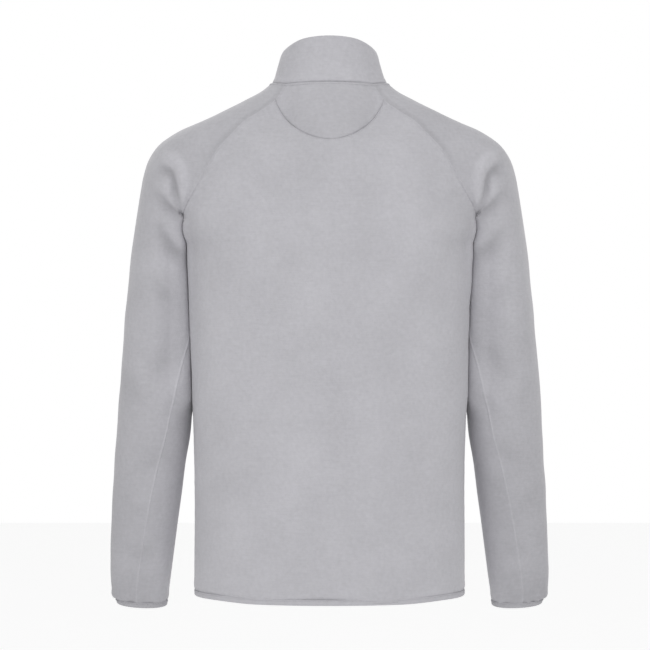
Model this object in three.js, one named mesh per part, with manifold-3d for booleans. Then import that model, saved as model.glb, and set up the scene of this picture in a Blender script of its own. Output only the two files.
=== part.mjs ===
// Fleece zip jacket, filled out as worn: a hollow wall of cloth, open at the neck, hem and cuffs.
// Millimetres. +X is the wearer's left, -Y the front, +Z up. The origin is the centre of the neck
// base, where the wearer's neck and shoulders carry the jacket.
// Every cloth piece is a grid of points on its outer face, worked out from the short tables below,
// and a wall made from that grid. Lengths are in millimetres and angles in degrees.

import * as THREE from "three";
import { mergeVertices } from "three/addons/utils/BufferGeometryUtils.js";
import Module from "manifold-3d";

const wasm = await Module();
wasm.setup();

// Driving sizes
const CLOTH = 2.4; // fleece
const GAP = 0.3; // between pieces at every seam
const YOKE_DRAW_BACK = 0.22; // the yoke's cut edge twists most, so it stands back a little more
const HEM_Z = -671;
const UNDERARM_Z = -190;
const BINDING_HEIGHT = 7;
const BINDING_PROUD = 0.5; // how far a binding stands out from the cloth above it
const FRONT_EDGE_X = 7; // each front stops this far from the centre line
const YOKE_START = 0.082; // where the yoke's arc leaves the raglan seam, from the neck
const SLEEVE_DROP = 498; // the sleeve's fleece below the underarm
const NECK = { y: -5, halfWidth: 79.5, depth: 73 };
const TAPE_OUTER_X = 17; // a zip tape's edge that is sewn behind the front
const TAPE_INNER_X = 1.3;
const TAPE_GAP = 0.4;
const TAPE_THICKNESS = 0.9;
const CHAIN = { halfWidth: 3, outerDepth: -0.2, innerDepth: 2.4 };
const STOP_BOX = { halfWidth: 4.2, height: 9, outerDepth: -0.8 };
// The slider and its pull tab: pairs are spans out of the collar's face and up along it.
const SLIDER = {
  belowRim: 11,
  chainTop: 0.9,
  plate: { halfWidth: 4.7, out: [0.5, 1.8], up: [-8, 4] },
  cheek: { inner: 3.4, out: [-2.3, 0.6] },
  post: { halfWidth: 0.85, out: [-4.4, 0.6], up: [1.3, 3.4] },
  backPlate: { halfWidth: 4.2, out: [-5.4, -4.1], up: [-7, 3.6] },
  ear: { inner: 2.1, outer: 3.2, out: [1.7, 5.2], up: [-2.2, 0.8] },
  pin: { radius: 0.75, setIn: 0.2 },
  pivot: [3.9, -0.7],
};
const TAB = {
  lug: { radius: 1.85, bore: 1.1, halfWidth: 1.8 },
  neck: { length: 2.2, belowBore: 0.3, setIn: 1 },
  plate: { halfWidth: 3.8, length: 21, thickness: 1.5, corner: 1.6 },
};

// Colours of the photograph
const FLEECE = { color: 0xb9b8bd, roughness: 0.95, metalness: 0 };
const BINDING = { color: 0xb0afb4, roughness: 0.9, metalness: 0 };
const TAPE = { color: 0xa9a8ad, roughness: 0.85, metalness: 0 };
const TEETH = { color: 0xa2a1a6, roughness: 0.5, metalness: 0 };
const METAL = { color: 0x9a9a9e, roughness: 0.35, metalness: 1 };

// A table of named columns, read smoothly between its rows. The first column is the key.
function table(names, rows) {
  const keys = rows.map((row) => row[0]);
  const last = rows.length - 1;
  const secant = (i, c) => (rows[i + 1][c] - rows[i][c]) / (keys[i + 1] - keys[i]);
  const slope = (i, c) => {
    if (i === 0) return secant(0, c);
    if (i === last) return secant(last - 1, c);
    const before = keys[i] - keys[i - 1];
    const after = keys[i + 1] - keys[i];
    return (secant(i - 1, c) * after + secant(i, c) * before) / (before + after);
  };
  return (key) => {
    const at = THREE.MathUtils.clamp(key, keys[0], keys[last]);
    const i = Math.min(keys.findLastIndex((k) => k <= at), last - 1);
    const span = keys[i + 1] - keys[i];
    const f = (at - keys[i]) / span;
    const out = {};
    names.forEach((name, c) => {
      if (c === 0) return;
      out[name] =
        rows[i][c] * (1 - f) ** 2 * (1 + 2 * f) +
        rows[i + 1][c] * f * f * (3 - 2 * f) +
        slope(i, c) * span * f * (1 - f) ** 2 -
        slope(i + 1, c) * span * f * f * (1 - f);
    });
    return out;
  };
}

// Seams. A raglan seam runs from the neck (0) to the underarm (1). The sleeve's ribs end on it: lead
// is the angle at which a rib meets it, and reach the length of the rib's handle there.
const RAGLAN = {
  back: table(["along", "x", "y", "z", "lead", "reach"], [
    [0, 59, 49, 26, -42, 20],
    [0.082, 73, 65, 3, -36, 25],
    [0.17, 93, 78, -13, -32, 29],
    [0.252, 113, 87, -26.5, -29, 32],
    [0.34, 131, 94, -45, -27, 36],
    [0.446, 152, 98, -69, -24, 40],
    [0.531, 165, 97, -92, -17, 42],
    [0.597, 174, 92, -109, -8, 42],
    [0.685, 186.5, 80, -130, 14, 40],
    [0.76, 195, 67, -146, 38, 40],
    [0.8, 197, 58, -154.5, 50, 42],
    [0.9, 196.4, 31, -170, 76, 62],
    [1, 192.6, 0, -190, 90, 93],
  ]),
  front: table(["along", "x", "y", "z", "lead", "reach"], [
    [0, 64, -46, 2, -42, 20],
    [0.1, 84, -70, -15, -36, 25],
    [0.22, 108, -87, -38, -32, 30],
    [0.35, 132, -96, -62, -29, 36],
    [0.47, 154, -98, -88, -24, 40],
    [0.6, 172, -91, -114, -8, 42],
    [0.71, 186, -77, -138, 18, 40],
    [0.81, 193, -56, -154, 50, 42],
    [0.905, 195, -29, -170, 76, 62],
    [1, 192.6, 0, -190, 90, 93],
  ]),
};

// The body's side seam: its distance from the centre.
const SIDE_SEAM = table(["z", "x"], [
  [-671, 184.5],
  [-480, 184.8],
  [-416, 186.7],
  [-375, 188],
  [-303, 189.5],
  [-266, 190.2],
  [-223, 191.4],
  [-190, 192.6],
]);

// The body's outline from the side, at the centre.
const CENTRE = {
  back: table(["z", "y"], [
    [-671, 126],
    [-600, 123],
    [-520, 119],
    [-450, 117],
    [-380, 120],
    [-300, 127],
    [-240, 133],
    [-180, 137],
    [-140, 136],
    [-100, 130.5],
    [-53, 117],
    [-12, 95],
    [27.5, 68],
  ]),
  front: table(["z", "y"], [
    [-671, -126],
    [-600, -129],
    [-500, -131],
    [-400, -130],
    [-300, -130],
    [-200, -130],
    [-140, -126],
    [-100, -118],
    [-60, -102],
    [-24, -78],
  ]),
};

// Rows of the body, from the hem (0) past the underarm (1) to the neck (2): the height at the
// centre, how far the row has turned at its outer edge, the centre handle as a share of the
// row's width, and the outer handle.
const ROWS = {
  back: table(["up", "z", "turn", "centre", "reach"], [
    [0, -671, 90, 0.58, 80],
    [0.3, -526.7, 90, 0.6, 82],
    [0.6, -382.4, 90, 0.62, 96],
    [0.85, -262.2, 90, 0.62, 110],
    [1, -190, 90, 0.62, 121],
    [1.1, -172, 86, 0.62, 91],
    [1.2, -153, 72, 0.62, 62],
    [1.3, -132, 52, 0.62, 49],
    [1.4, -110, 40, 0.62, 46],
    [1.5, -92, 32, 0.61, 45],
    [1.6, -77, 29, 0.6, 42],
    [1.7, -66.5, 29, 0.58, 37],
    [1.8, -59, 31, 0.56, 31],
    [1.918, -53, 36, 0.52, 24],
  ]),
  front: table(["up", "z", "turn", "centre", "reach"], [
    [0, -671, 90, 0.58, 80],
    [0.3, -526.7, 90, 0.58, 85],
    [0.6, -382.4, 90, 0.58, 96],
    [0.85, -262.2, 90, 0.6, 108],
    [1, -190, 90, 0.6, 117],
    [1.1, -174, 86, 0.6, 89],
    [1.2, -157, 72, 0.6, 60],
    [1.3, -140, 54, 0.6, 46],
    [1.4, -124, 41, 0.6, 46],
    [1.5, -107, 34, 0.58, 45],
    [1.6, -90, 31, 0.56, 41],
    [1.7, -73, 31, 0.54, 35],
    [1.8, -57, 34, 0.52, 29],
    [1.9, -41, 38, 0.5, 24],
    [2, -24, 42, 0.48, 19],
  ]),
};

// Rows of the half-moon yoke, from its arc (0) to the neck seam (1).
const YOKE_ROWS = table(["up", "z", "turn", "centre", "reach"], [
  [0, -53, 36, 0.52, 24],
  [0.35, -22, 38, 0.5, 22],
  [0.7, 7, 40, 0.49, 20],
  [1, 27.5, 42, 0.48, 18],
]);

// The sleeve's outer line over the shoulder, from the neck (0) to the level of the underarm (1),
// with the handles of its ribs to the back and front.
const SHOULDER = table(["along", "x", "y", "z", "back", "front"], [
  [0, 79.5, 3, 30, 24, 26],
  [0.05, 91, 3.5, 20.5, 30, 32],
  [0.141, 114, 4, 8, 40, 42],
  [0.267, 147, 2, -8, 52, 54],
  [0.407, 184, -1, -25, 65, 66],
  [0.474, 202, -1.5, -33, 70, 71],
  [0.54, 218, -2, -42.5, 74, 75],
  [0.598, 232, -3, -53, 78, 78],
  [0.65, 241.5, -3.5, -64.5, 80, 81],
  [0.687, 247, -4, -74, 82, 83],
  [0.763, 254, -4, -95, 85, 86],
  [0.833, 258, -5, -115, 87, 88],
  [0.906, 263, -5, -146, 90, 91],
  [1, 268.3, -5.5, -180, 93, 93],
]);

// The sleeve below the underarm. outer and inner are its edges seen from behind, y its middle,
// tilt how much lower the inner edge lies, back and front its half depths, and lean how much a
// section drops for each millimetre towards the back.
const LOWER_SLEEVE = table(
  ["drop", "outer", "inner", "y", "innerY", "tilt", "back", "front", "lean"],
  [
    [0, 268.3, 192.6, -5.5, 0, 10, 70, 70, 0],
    [24, 271.8, 193.8, -7, -4, 8, 71, 71, -0.01],
    [58, 275.3, 193.4, -9, -8, 6, 71, 71, -0.02],
    [100, 280, 192.4, -13, -13, 6, 68, 69, -0.04],
    [140, 283, 191.5, -17, -17, 6, 65, 66, -0.06],
    [182, 287.4, 190.3, -21, -21, 6, 61, 62, -0.08],
    [223, 290.8, 189.4, -26, -26, 5, 56, 57, -0.1],
    [264, 293.4, 192, -30, -30, 5, 52, 53, -0.11],
    [305, 296.4, 199, -33, -33, 5, 48, 49, -0.115],
    [346, 300, 204.2, -36, -36, 5, 45, 45, -0.115],
    [387, 301.6, 209.8, -38, -38, 4, 42, 42, -0.115],
    [428, 302.8, 215.2, -40, -40, 4, 38, 38, -0.115],
    [469, 302.8, 220.6, -42, -42, 4, 33.5, 33, -0.115],
    [486, 301.2, 223, -43, -43, 4, 31, 31, -0.115],
    [498, 296.6, 224.4, -43, -43, 3, 29, 29, -0.115],
    [505, 294, 225.4, -43, -43, 3, 28, 28, -0.115],
  ],
);

// The largest folds of the left sleeve, where the armhole crushes it: points along each fold as
// seen from behind, with its depth (a ridge is below zero) and its half width there.
const FOLD_COLUMNS = ["x", "z", "depth", "width"];
const SLEEVE_FOLDS = {
  back: [
    [[223, -89, 0, 7], [210, -97, 4.5, 7.5], [205, -119, 6, 8], [197, -153, 5, 8]],
    [[236, -122, 0, 8], [215, -142, 3.5, 8.5], [198, -156, 4, 8]],
    [[232, -162, 0, 8], [214, -191, 4, 9], [198, -203, 4, 9]],
    [[214, -78, 0, 9], [200, -93, -3, 8], [193, -112, 0, 8]],
    [[232, -250, 0, 9], [219, -272, 2, 10], [199, -292, 2, 9]],
  ],
  front: [
    [[226, -92, 0, 8], [212, -103, 4, 8], [204, -126, 5, 8], [196, -153, 4, 8]],
    [[240, -128, 0, 8], [217, -146, 3.5, 9], [198, -157, 3.5, 8]],
    [[236, -176, 0, 9], [215, -199, 3, 9], [198, -208, 3.5, 9]],
  ],
};

// The collar: its open rim is an oval in a plane that slopes down to the front.
const RIM = { halfWidth: 66, back: 61, front: 60, backZ: 89.7, slope: 0.32 };
const COLLAR_BOW = 1.5; // how far the collar bows out at half its height
const ZIP_EASE = 60; // degrees round from the zip over which the collar's front edge turns upright

// At the underarm the cloth of the body and of the sleeve lie back to back, so over this stretch of
// the raglan seam their shared cut edge turns downwards, weighted by pull.
const UNDERARM_TURN = { from: 0.75, to: 0.95, pull: 2 };
const EDGE_CLIMB = 0.35; // how much of a row's climb comes late, near its edge
const SHARPEST_CORNER = 0.4; // limits how far a corner of a cut edge is drawn back
const WELD = 1e-4;

// Grid steps
const RAGLAN_STEPS = [
  0, 0.04, YOKE_START, 0.14, 0.2, 0.26, 0.32, 0.38, 0.44, 0.5, 0.55, 0.6, 0.65, 0.69, 0.73, 0.77,
  0.81, 0.85, 0.9, 0.95, 1,
];
const SIDE_STEPS = [0.12, 0.25, 0.38, 0.51, 0.63, 0.74, 0.83, 0.9, 0.96];
const BACK_STEPS = [0, 0.13, 0.26, 0.38, 0.5, 0.61, 0.72, 0.82, 0.91, 1];
const FRONT_STEPS = [0, 0.15, 0.3, 0.45, 0.6, 0.74, 0.88, 1]; // from the zip tape's outer edge
const RIB_STEPS = [0, 0.12, 0.24, 0.36, 0.47, 0.57, 0.66, 0.74, 0.81, 0.87, 0.92, 0.96, 1];
const DROP_STEPS = [12, 25, 40, 58, 80, 108, 142, 182, 225, 270, 320, 370, 420, 468, 498];
const COLLAR_STEPS = [0, 0.3, 0.65, 1];

const degrees = THREE.MathUtils.degToRad;
const vec = (x, y, z) => new THREE.Vector3(x, y, z);
const sideSign = { back: 1, front: -1 };

function cubic(p0, p1, p2, p3, t) {
  const s = 1 - t;
  return p0 * s * s * s + 3 * p1 * s * s * t + 3 * p2 * s * t * t + p3 * t * t * t;
}

// How a row of the body climbs from its centre to its edge, as a share of its width.
const rowRise = (share) => (share ** 2 * (1 + EDGE_CLIMB * share ** 6)) / (1 + EDGE_CLIMB);

function rowPoint(side, row, edge, t) {
  const sign = sideSign[side];
  const centreY = CENTRE[side](row.z).y;
  const turn = degrees(row.turn);
  const handleX = edge.x - row.reach * Math.cos(turn);
  const handleY = edge.y + sign * row.reach * Math.sin(turn);
  const x = cubic(0, row.centre * edge.x, handleX, edge.x, t);
  const y = cubic(centreY, centreY, handleY, edge.y, t);
  return vec(x, y, row.z + (edge.z - row.z) * rowRise(x / edge.x));
}

// A point of the body's left half. up is 0 at the hem, 1 at the underarm and 2 at the neck, and
// t runs from the centre (0) to the side or raglan seam (1).
function bodyPoint(side, up, t) {
  if (up > 1) return rowPoint(side, ROWS[side](up), RAGLAN[side](2 - up), t);
  const z = THREE.MathUtils.lerp(HEM_Z, UNDERARM_Z, up);
  return rowPoint(side, ROWS[side](up), { x: SIDE_SEAM(z).x, y: 0, z }, t);
}

function yokePoint(up, t) {
  return rowPoint("back", YOKE_ROWS(up), RAGLAN.back(YOKE_START * (1 - up)), t);
}

// The place on a row of the front that lies at a given distance from the centre line.
function frontAt(up, x) {
  let low = 0;
  let high = 1;
  for (let i = 0; i < 40; i++) {
    const middle = (low + high) / 2;
    if (bodyPoint("front", up, middle).x < x) low = middle;
    else high = middle;
  }
  return low;
}

function ribPoint(outer, outerReach, inner, innerHandle, t) {
  const axis = (k, shift) =>
    cubic(outer[k], outer[k] + shift, inner[k] + innerHandle[k], inner[k], t);
  return vec(axis("x", 0), axis("y", outerReach), axis("z", 0));
}

// A point of the left sleeve above the underarm: along from the neck (0) to the underarm (1), and
// u from the front raglan seam (-1) over the shoulder (0) to the back raglan seam (1).
function capPoint(along, u) {
  const side = u >= 0 ? "back" : "front";
  const sign = sideSign[side];
  const outer = SHOULDER(along);
  const inner = RAGLAN[side](along);
  const width = Math.hypot(outer.x - inner.x, outer.z - inner.z);
  const lead = degrees(inner.lead);
  const out = (inner.reach * Math.cos(lead)) / width;
  const handle = {
    x: (outer.x - inner.x) * out,
    y: sign * inner.reach * Math.sin(lead),
    z: (outer.z - inner.z) * out,
  };
  return ribPoint(outer, sign * outer[side], inner, handle, Math.abs(u));
}

// A half oval drawn as one cubic needs handles of four thirds of its depth.
const OVAL_HANDLE = 4 / 3;

// A point of the left sleeve below the underarm: a closed ring at each drop, u as above.
function armPoint(drop, u) {
  const side = u >= 0 ? "back" : "front";
  const sign = sideSign[side];
  const at = LOWER_SLEEVE(drop);
  const reach = sign * at[side] * OVAL_HANDLE;
  const z = SHOULDER(1).z - drop;
  const outer = { x: at.outer, y: at.y, z };
  const inner = { x: at.inner, y: at.innerY, z: z - at.tilt };
  const point = ribPoint(outer, reach, inner, { x: 0, y: reach, z: 0 }, Math.abs(u));
  point.z += at.lean * (point.y - at.y);
  return point;
}

// How deep the folds of one side press a point that is seen from that side.
function foldDepth(folds, point) {
  let depth = 0;
  for (const fold of folds) {
    const stops = fold.map((row) =>
      Object.fromEntries(FOLD_COLUMNS.map((name, c) => [name, row[c]])),
    );
    let nearest = Infinity;
    let press = 0;
    for (let i = 0; i + 1 < stops.length; i++) {
      const [a, b] = [stops[i], stops[i + 1]];
      const length2 = (b.x - a.x) ** 2 + (b.z - a.z) ** 2;
      const along = ((point.x - a.x) * (b.x - a.x) + (point.z - a.z) * (b.z - a.z)) / length2;
      const f = THREE.MathUtils.clamp(along, 0, 1);
      const away = Math.hypot(
        point.x - THREE.MathUtils.lerp(a.x, b.x, f),
        point.z - THREE.MathUtils.lerp(a.z, b.z, f),
      );
      if (away >= nearest) continue;
      nearest = away;
      const width = THREE.MathUtils.lerp(a.width, b.width, f);
      press = THREE.MathUtils.lerp(a.depth, b.depth, f) * Math.exp(-((away / width) ** 2));
    }
    depth += press;
  }
  return depth;
}

// A sheet is a grid of points on a piece's outer face. Its normals point out of the cloth.
// From the row closedFrom down, the first and last columns are one line, as round a sleeve.
function sheet(points, closedFrom = Infinity) {
  const last = points[0].length - 1;
  const normals = points.map((row, i) =>
    row.map((_, j) => {
      const up = points[Math.min(i + 1, points.length - 1)][j]
        .clone()
        .sub(points[Math.max(i - 1, 0)][j]);
      const closed = i >= closedFrom;
      const next = j < last ? j + 1 : closed ? 1 : last;
      const before = j > 0 ? j - 1 : closed ? last - 1 : 0;
      return up.cross(row[next].clone().sub(row[before])).normalize();
    }),
  );
  return { points, normals, closedFrom };
}

// Two pieces share the direction of their cut edges along a seam.
function sewNormals(one, other) {
  one.forEach((normal, i) => {
    normal.add(other[i]).normalize();
    other[i].copy(normal);
  });
}

// The wall of a sheet between two depths, measured along its normals, with every free edge drawn
// back by half a seam gap.
function wall(piece, outerDepth, innerDepth, drawBack = GAP / 2) {
  const { points, normals, closedFrom } = piece;
  const columns = points[0].length;
  const id = (i, j) => i * columns + (i >= closedFrom && j === columns - 1 ? 0 : j);
  const triangles = [];
  for (let i = 0; i + 1 < points.length; i++) {
    for (let j = 0; j + 1 < columns; j++) {
      const [a, b, c, d] = [id(i, j), id(i, j + 1), id(i + 1, j + 1), id(i + 1, j)];
      triangles.push([a, d, c], [a, c, b]);
    }
  }
  const flatPoints = points.flat();
  const flatNormals = normals.flat();
  const edges = new Set(triangles.flatMap(([a, b, c]) => [`${a} ${b}`, `${b} ${c}`, `${c} ${a}`]));
  const free = [...edges]
    .map((edge) => edge.split(" ").map(Number))
    .filter(([a, b]) => !edges.has(`${b} ${a}`));
  const inward = new Map();
  for (const [a, b] of free) {
    for (const end of [a, b]) {
      const step = flatPoints[b].clone().sub(flatPoints[a]);
      const into = flatNormals[end].clone().cross(step).normalize();
      inward.set(end, [...(inward.get(end) || []), into]);
    }
  }
  const cut = flatPoints.map((point, k) => {
    const into = inward.get(k);
    if (!into) return point.clone();
    const shift = into.reduce((sum, v) => sum.add(v), vec(0, 0, 0));
    const corner = into.length > 1 ? 1 + into[0].dot(into[1]) : 1;
    return point.clone().addScaledVector(shift, drawBack / Math.max(corner, SHARPEST_CORNER));
  });
  const count = cut.length;
  const layer = (depth) =>
    cut.map((point, k) => point.clone().addScaledVector(flatNormals[k], -depth));
  const vertices = [...layer(outerDepth), ...layer(innerDepth)];
  const faces = [...triangles];
  for (const [a, b, c] of triangles) faces.push([a + count, c + count, b + count]);
  for (const [a, b] of free) faces.push([b, a, a + count], [b, a + count, b + count]);
  const geometry = new THREE.BufferGeometry();
  geometry.setAttribute(
    "position",
    new THREE.Float32BufferAttribute(
      vertices.flatMap((p) => [p.x, p.y, p.z]),
      3,
    ),
  );
  geometry.setIndex(faces.flat());
  return geometry;
}

const mirrored = (point) => vec(-point.x, point.y, point.z);

// A whole row, from the wearer's right to the left, out of its left half, which starts at the centre.
const bothSides = (half) => [...half.slice(1).reverse().map(mirrored), ...half];

const mirrorRows = (rows) => rows.map((row) => [...row].reverse().map(mirrored));

// The same piece on the other side of the jacket.
const mirrorSheet = ({ points, normals, closedFrom }) => ({
  points: mirrorRows(points),
  normals: mirrorRows(normals),
  closedFrom,
});

// Sheets of the fleece pieces. Body rows run upwards and their columns from the wearer's right round
// the back to the left front, so that the normals point out. The sleeve's rows run down from the
// neck, and its columns from the front seam over the shoulder to the back seam.
const bindingShare = BINDING_HEIGHT / (UNDERARM_Z - HEM_Z);
const sideRows = [bindingShare, ...SIDE_STEPS];
const raglanRows = [...RAGLAN_STEPS].reverse().map((along) => 2 - along);
const frontRows = [...sideRows, ...raglanRows];
const yokeCount = RAGLAN_STEPS.indexOf(YOKE_START);
const backRows = frontRows.slice(0, frontRows.length - yokeCount);

const backHalf = (up) => BACK_STEPS.map((t) => bodyPoint("back", up, t));
const backSheet = sheet(backRows.map((up) => bothSides(backHalf(up))));

const yokeSheet = sheet(
  RAGLAN_STEPS.slice(0, yokeCount + 1)
    .reverse()
    .map((along) => 1 - along / YOKE_START)
    .map((up) => bothSides(BACK_STEPS.map((t) => yokePoint(up, t)))),
);

// A row of the left front, from the side to the front edge.
function frontRow(up) {
  const start = frontAt(up, TAPE_OUTER_X);
  const rest = FRONT_STEPS.map((f) => THREE.MathUtils.lerp(start, 1, f));
  return [frontAt(up, FRONT_EDGE_X), ...rest].map((t) => bodyPoint("front", up, t)).reverse();
}

const frontSheet = sheet(frontRows.map(frontRow));

const ribs = [...RIB_STEPS.slice(1).map((t) => -t).reverse(), ...RIB_STEPS];

function pressFolds(plain) {
  const { points, normals } = plain;
  points.forEach((row, i) =>
    row.forEach((point, j) => {
      const side = ribs[j] >= 0 ? "back" : "front";
      const facing = THREE.MathUtils.smoothstep(normals[i][j].y * sideSign[side], 0, 0.5);
      const onSeam = Math.abs(ribs[j]) === 1 ? 0 : 1;
      const depth = foldDepth(SLEEVE_FOLDS[side], point) * facing * onSeam;
      point.addScaledVector(normals[i][j], -depth);
    }),
  );
  return plain;
}

const sleeveSheet = pressFolds(
  sheet(
    [
      ...RAGLAN_STEPS.map((along) => ribs.map((u) => capPoint(along, u))),
      ...DROP_STEPS.map((drop) => ribs.map((u) => armPoint(drop, u))),
    ],
    RAGLAN_STEPS.length - 1,
  ),
);

// The left half of the neck seam, from the centre of the back to the left front edge, of the points
// or of the normals of the pieces that meet the collar.
const neckHalf = (kind) => [
  ...yokeSheet[kind].at(-1).slice(BACK_STEPS.length - 1),
  ...[...sleeveSheet[kind][0]].reverse().slice(1),
  ...frontSheet[kind].at(-1).slice(1),
];

const rimMiddleZ = RIM.backZ - RIM.slope * RIM.back;

// A point of the collar above a point of the neck seam, at a share of the collar's height.
function collarPoint(base, share) {
  const fromBack = Math.atan2(base.x / NECK.halfWidth, (base.y - NECK.y) / NECK.depth);
  const fromFront = Math.PI - fromBack;
  const nearZip = 1 - THREE.MathUtils.smoothstep(fromFront, 0, degrees(ZIP_EASE));
  const spread = NECK.halfWidth / RIM.halfWidth - 1;
  const angle = Math.PI - fromFront * (1 + spread * nearZip);
  const reach = angle < Math.PI / 2 ? RIM.back : RIM.front;
  const swing = reach * Math.cos(angle);
  const rim = vec(RIM.halfWidth * Math.sin(angle), NECK.y + swing, rimMiddleZ + RIM.slope * swing);
  const bow = COLLAR_BOW * 4 * share * (1 - share) * (1 - nearZip);
  const out = vec(Math.sin(angle), Math.cos(angle), 0).multiplyScalar(bow);
  return base.clone().lerp(rim, share).add(out);
}

const collarHalf = (share) => neckHalf("points").map((base) => collarPoint(base, share));
const wholeLoop = (half) => [...[...half].reverse().map(mirrored), ...half.slice(1)];
const collarSheet = sheet(COLLAR_STEPS.map((share) => wholeLoop(collarHalf(share))));

// Seams: where two pieces meet, their cut edges share one direction.
const seamCount = RAGLAN_STEPS.length;
const sleeveBack = sleeveSheet.normals.map((row) => row.at(-1)).slice(0, seamCount);
const sleeveFront = sleeveSheet.normals.map((row) => row[0]).slice(0, seamCount);
const raglanEdge = (piece, at) => piece.normals.map((row) => row.at(at)).reverse();
const sideEdge = (piece, at) => piece.normals.map((row) => row.at(at)).slice(0, sideRows.length);
const bodyBack = [...raglanEdge(yokeSheet, -1), ...raglanEdge(backSheet, -1).slice(1)];
sewNormals(sideEdge(backSheet, -1), sideEdge(frontSheet, 0));
for (const [body, sleeve] of [
  [bodyBack, sleeveBack],
  [raglanEdge(frontSheet, 0), sleeveFront],
]) {
  sleeve.forEach((normal, i) => {
    const turned = THREE.MathUtils.smoothstep(RAGLAN_STEPS[i], UNDERARM_TURN.from, UNDERARM_TURN.to);
    normal.z -= UNDERARM_TURN.pull * turned;
  });
  sewNormals(sleeve, body);
}
const underarm = vec(0, 0, -1);
for (const normal of [sleeveBack.at(-1), sleeveFront.at(-1)]) normal.copy(underarm);
for (const [piece, at] of [[backSheet, -1], [frontSheet, 0]]) {
  piece.normals[sideRows.length].at(at).copy(underarm);
}
backSheet.normals.at(-1).at(-1).copy(sleeveBack[yokeCount]);
sewNormals(backSheet.normals.at(-1), yokeSheet.normals[0]);
sewNormals(collarSheet.normals[0].slice(neckHalf("normals").length - 1), neckHalf("normals"));
sleeveBack[0].copy(yokeSheet.normals.at(-1).at(-1));
frontSheet.normals.at(-1)[0].copy(sleeveFront[0]);

function matchHalves(piece) {
  for (const row of piece.normals) {
    for (let j = 0; j < (row.length - 1) / 2; j++) row[j].copy(mirrored(row.at(-1 - j)));
  }
}
[backSheet, yokeSheet, collarSheet].forEach(matchHalves);

// Bindings: the hem's runs round from front edge to front edge, and each cuff's is a closed ring.
const hemHalf = (up) => [...backHalf(up), ...frontRow(up).slice(1)];
const hemSheet = sheet([0, bindingShare].map((up) => wholeLoop(hemHalf(up))));
const cuffSheet = sheet(
  [SLEEVE_DROP, SLEEVE_DROP + BINDING_HEIGHT].map((drop) => ribs.map((u) => armPoint(drop, u))),
  0,
);
sewNormals(cuffSheet.normals[0], sleeveSheet.normals.at(-1));

// Zip: strips that follow the front from the hem to the top of the collar.
function zipRow(place, xs) {
  const point = (x) => {
    const up = Math.min(place, 2);
    const base = bodyPoint("front", up, frontAt(up, Math.abs(x)));
    const on = place > 2 ? collarPoint(base, place - 2) : base;
    return x < 0 ? mirrored(on) : on;
  };
  return xs.map(point);
}
const zipSheet = (places, xs) => sheet(places.map((place) => zipRow(place, xs)));
const collarPlaces = COLLAR_STEPS.slice(1).map((share) => 2 + share);
const zipPlaces = [0, ...frontRows, ...collarPlaces];
const tapeSheet = zipSheet(zipPlaces, [TAPE_OUTER_X, FRONT_EDGE_X, TAPE_INNER_X]);

const collarFoot = zipRow(2, [0])[0];
const collarTop = zipRow(3, [0])[0];
const collarHeight = collarFoot.distanceTo(collarTop);
const sliderPlace = 3 - SLIDER.belowRim / collarHeight;
const chainTop = 3 - (SLIDER.belowRim - SLIDER.chainTop) / collarHeight;
const stopShare = STOP_BOX.height / (UNDERARM_Z - HEM_Z);
const chainPlaces = zipPlaces.filter((place) => place > stopShare && place < chainTop);
const chainColumns = [CHAIN.halfWidth, 0, -CHAIN.halfWidth];
const chainSheet = zipSheet([stopShare, ...chainPlaces, chainTop], chainColumns);
const stopSheet = zipSheet([0, stopShare], [STOP_BOX.halfWidth, 0, -STOP_BOX.halfWidth]);

// The slider is drawn lying on the chain: x across, -y out of the jacket and z up, from the
// collar's outer face at the slider's middle.
function block(halfWidth, [inner, outer], [low, high]) {
  const geometry = new THREE.BoxGeometry(2 * halfWidth, outer - inner, high - low);
  return geometry.translate(0, -(inner + outer) / 2, (low + high) / 2);
}

// A disc or ring across the slider, with its axis along x.
function roller(radius, bore, [left, right], [out, up]) {
  const shape = new THREE.Shape().absarc(0, 0, radius, 0, 2 * Math.PI);
  if (bore) shape.holes.push(new THREE.Path().absarc(0, 0, bore, 0, 2 * Math.PI));
  const geometry = new THREE.ExtrudeGeometry(shape, {
    depth: right - left,
    bevelEnabled: false,
    curveSegments: 8,
  });
  return geometry.rotateY(Math.PI / 2).translate(left, -out, up);
}

function manifoldOf(geometry) {
  const bare = geometry.clone();
  bare.deleteAttribute("normal");
  bare.deleteAttribute("uv");
  const merged = mergeVertices(bare, WELD);
  return new wasm.Manifold(
    new wasm.Mesh({
      numProp: 3,
      vertProperties: merged.getAttribute("position").array,
      triVerts: new Uint32Array(merged.index.array),
    }),
  );
}

function joined(geometries) {
  const mesh = geometries.map(manifoldOf).reduce((sum, next) => sum.add(next)).getMesh();
  const geometry = new THREE.BufferGeometry();
  geometry.setAttribute("position", new THREE.Float32BufferAttribute(mesh.vertProperties, 3));
  geometry.setIndex([...mesh.triVerts]);
  return geometry;
}

function sliderGeometry() {
  const { plate, cheek, post, backPlate, ear, pin, pivot } = SLIDER;
  const parts = [
    block(plate.halfWidth, plate.out, plate.up),
    block(post.halfWidth, post.out, post.up),
    block(backPlate.halfWidth, backPlate.out, backPlate.up),
  ];
  const cheekWidth = (plate.halfWidth - cheek.inner) / 2;
  const earWidth = (ear.outer - ear.inner) / 2;
  for (const side of [-1, 1]) {
    const cheekX = side * (plate.halfWidth - cheekWidth);
    parts.push(block(cheekWidth, cheek.out, plate.up).translate(cheekX, 0, 0));
    const earX = side * (ear.inner + earWidth);
    parts.push(block(earWidth, ear.out, ear.up).translate(earX, 0, 0));
  }
  const pinEnd = ear.inner + pin.setIn;
  parts.push(roller(pin.radius, 0, [-pinEnd, pinEnd], pivot));
  return joined(parts);
}

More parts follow.
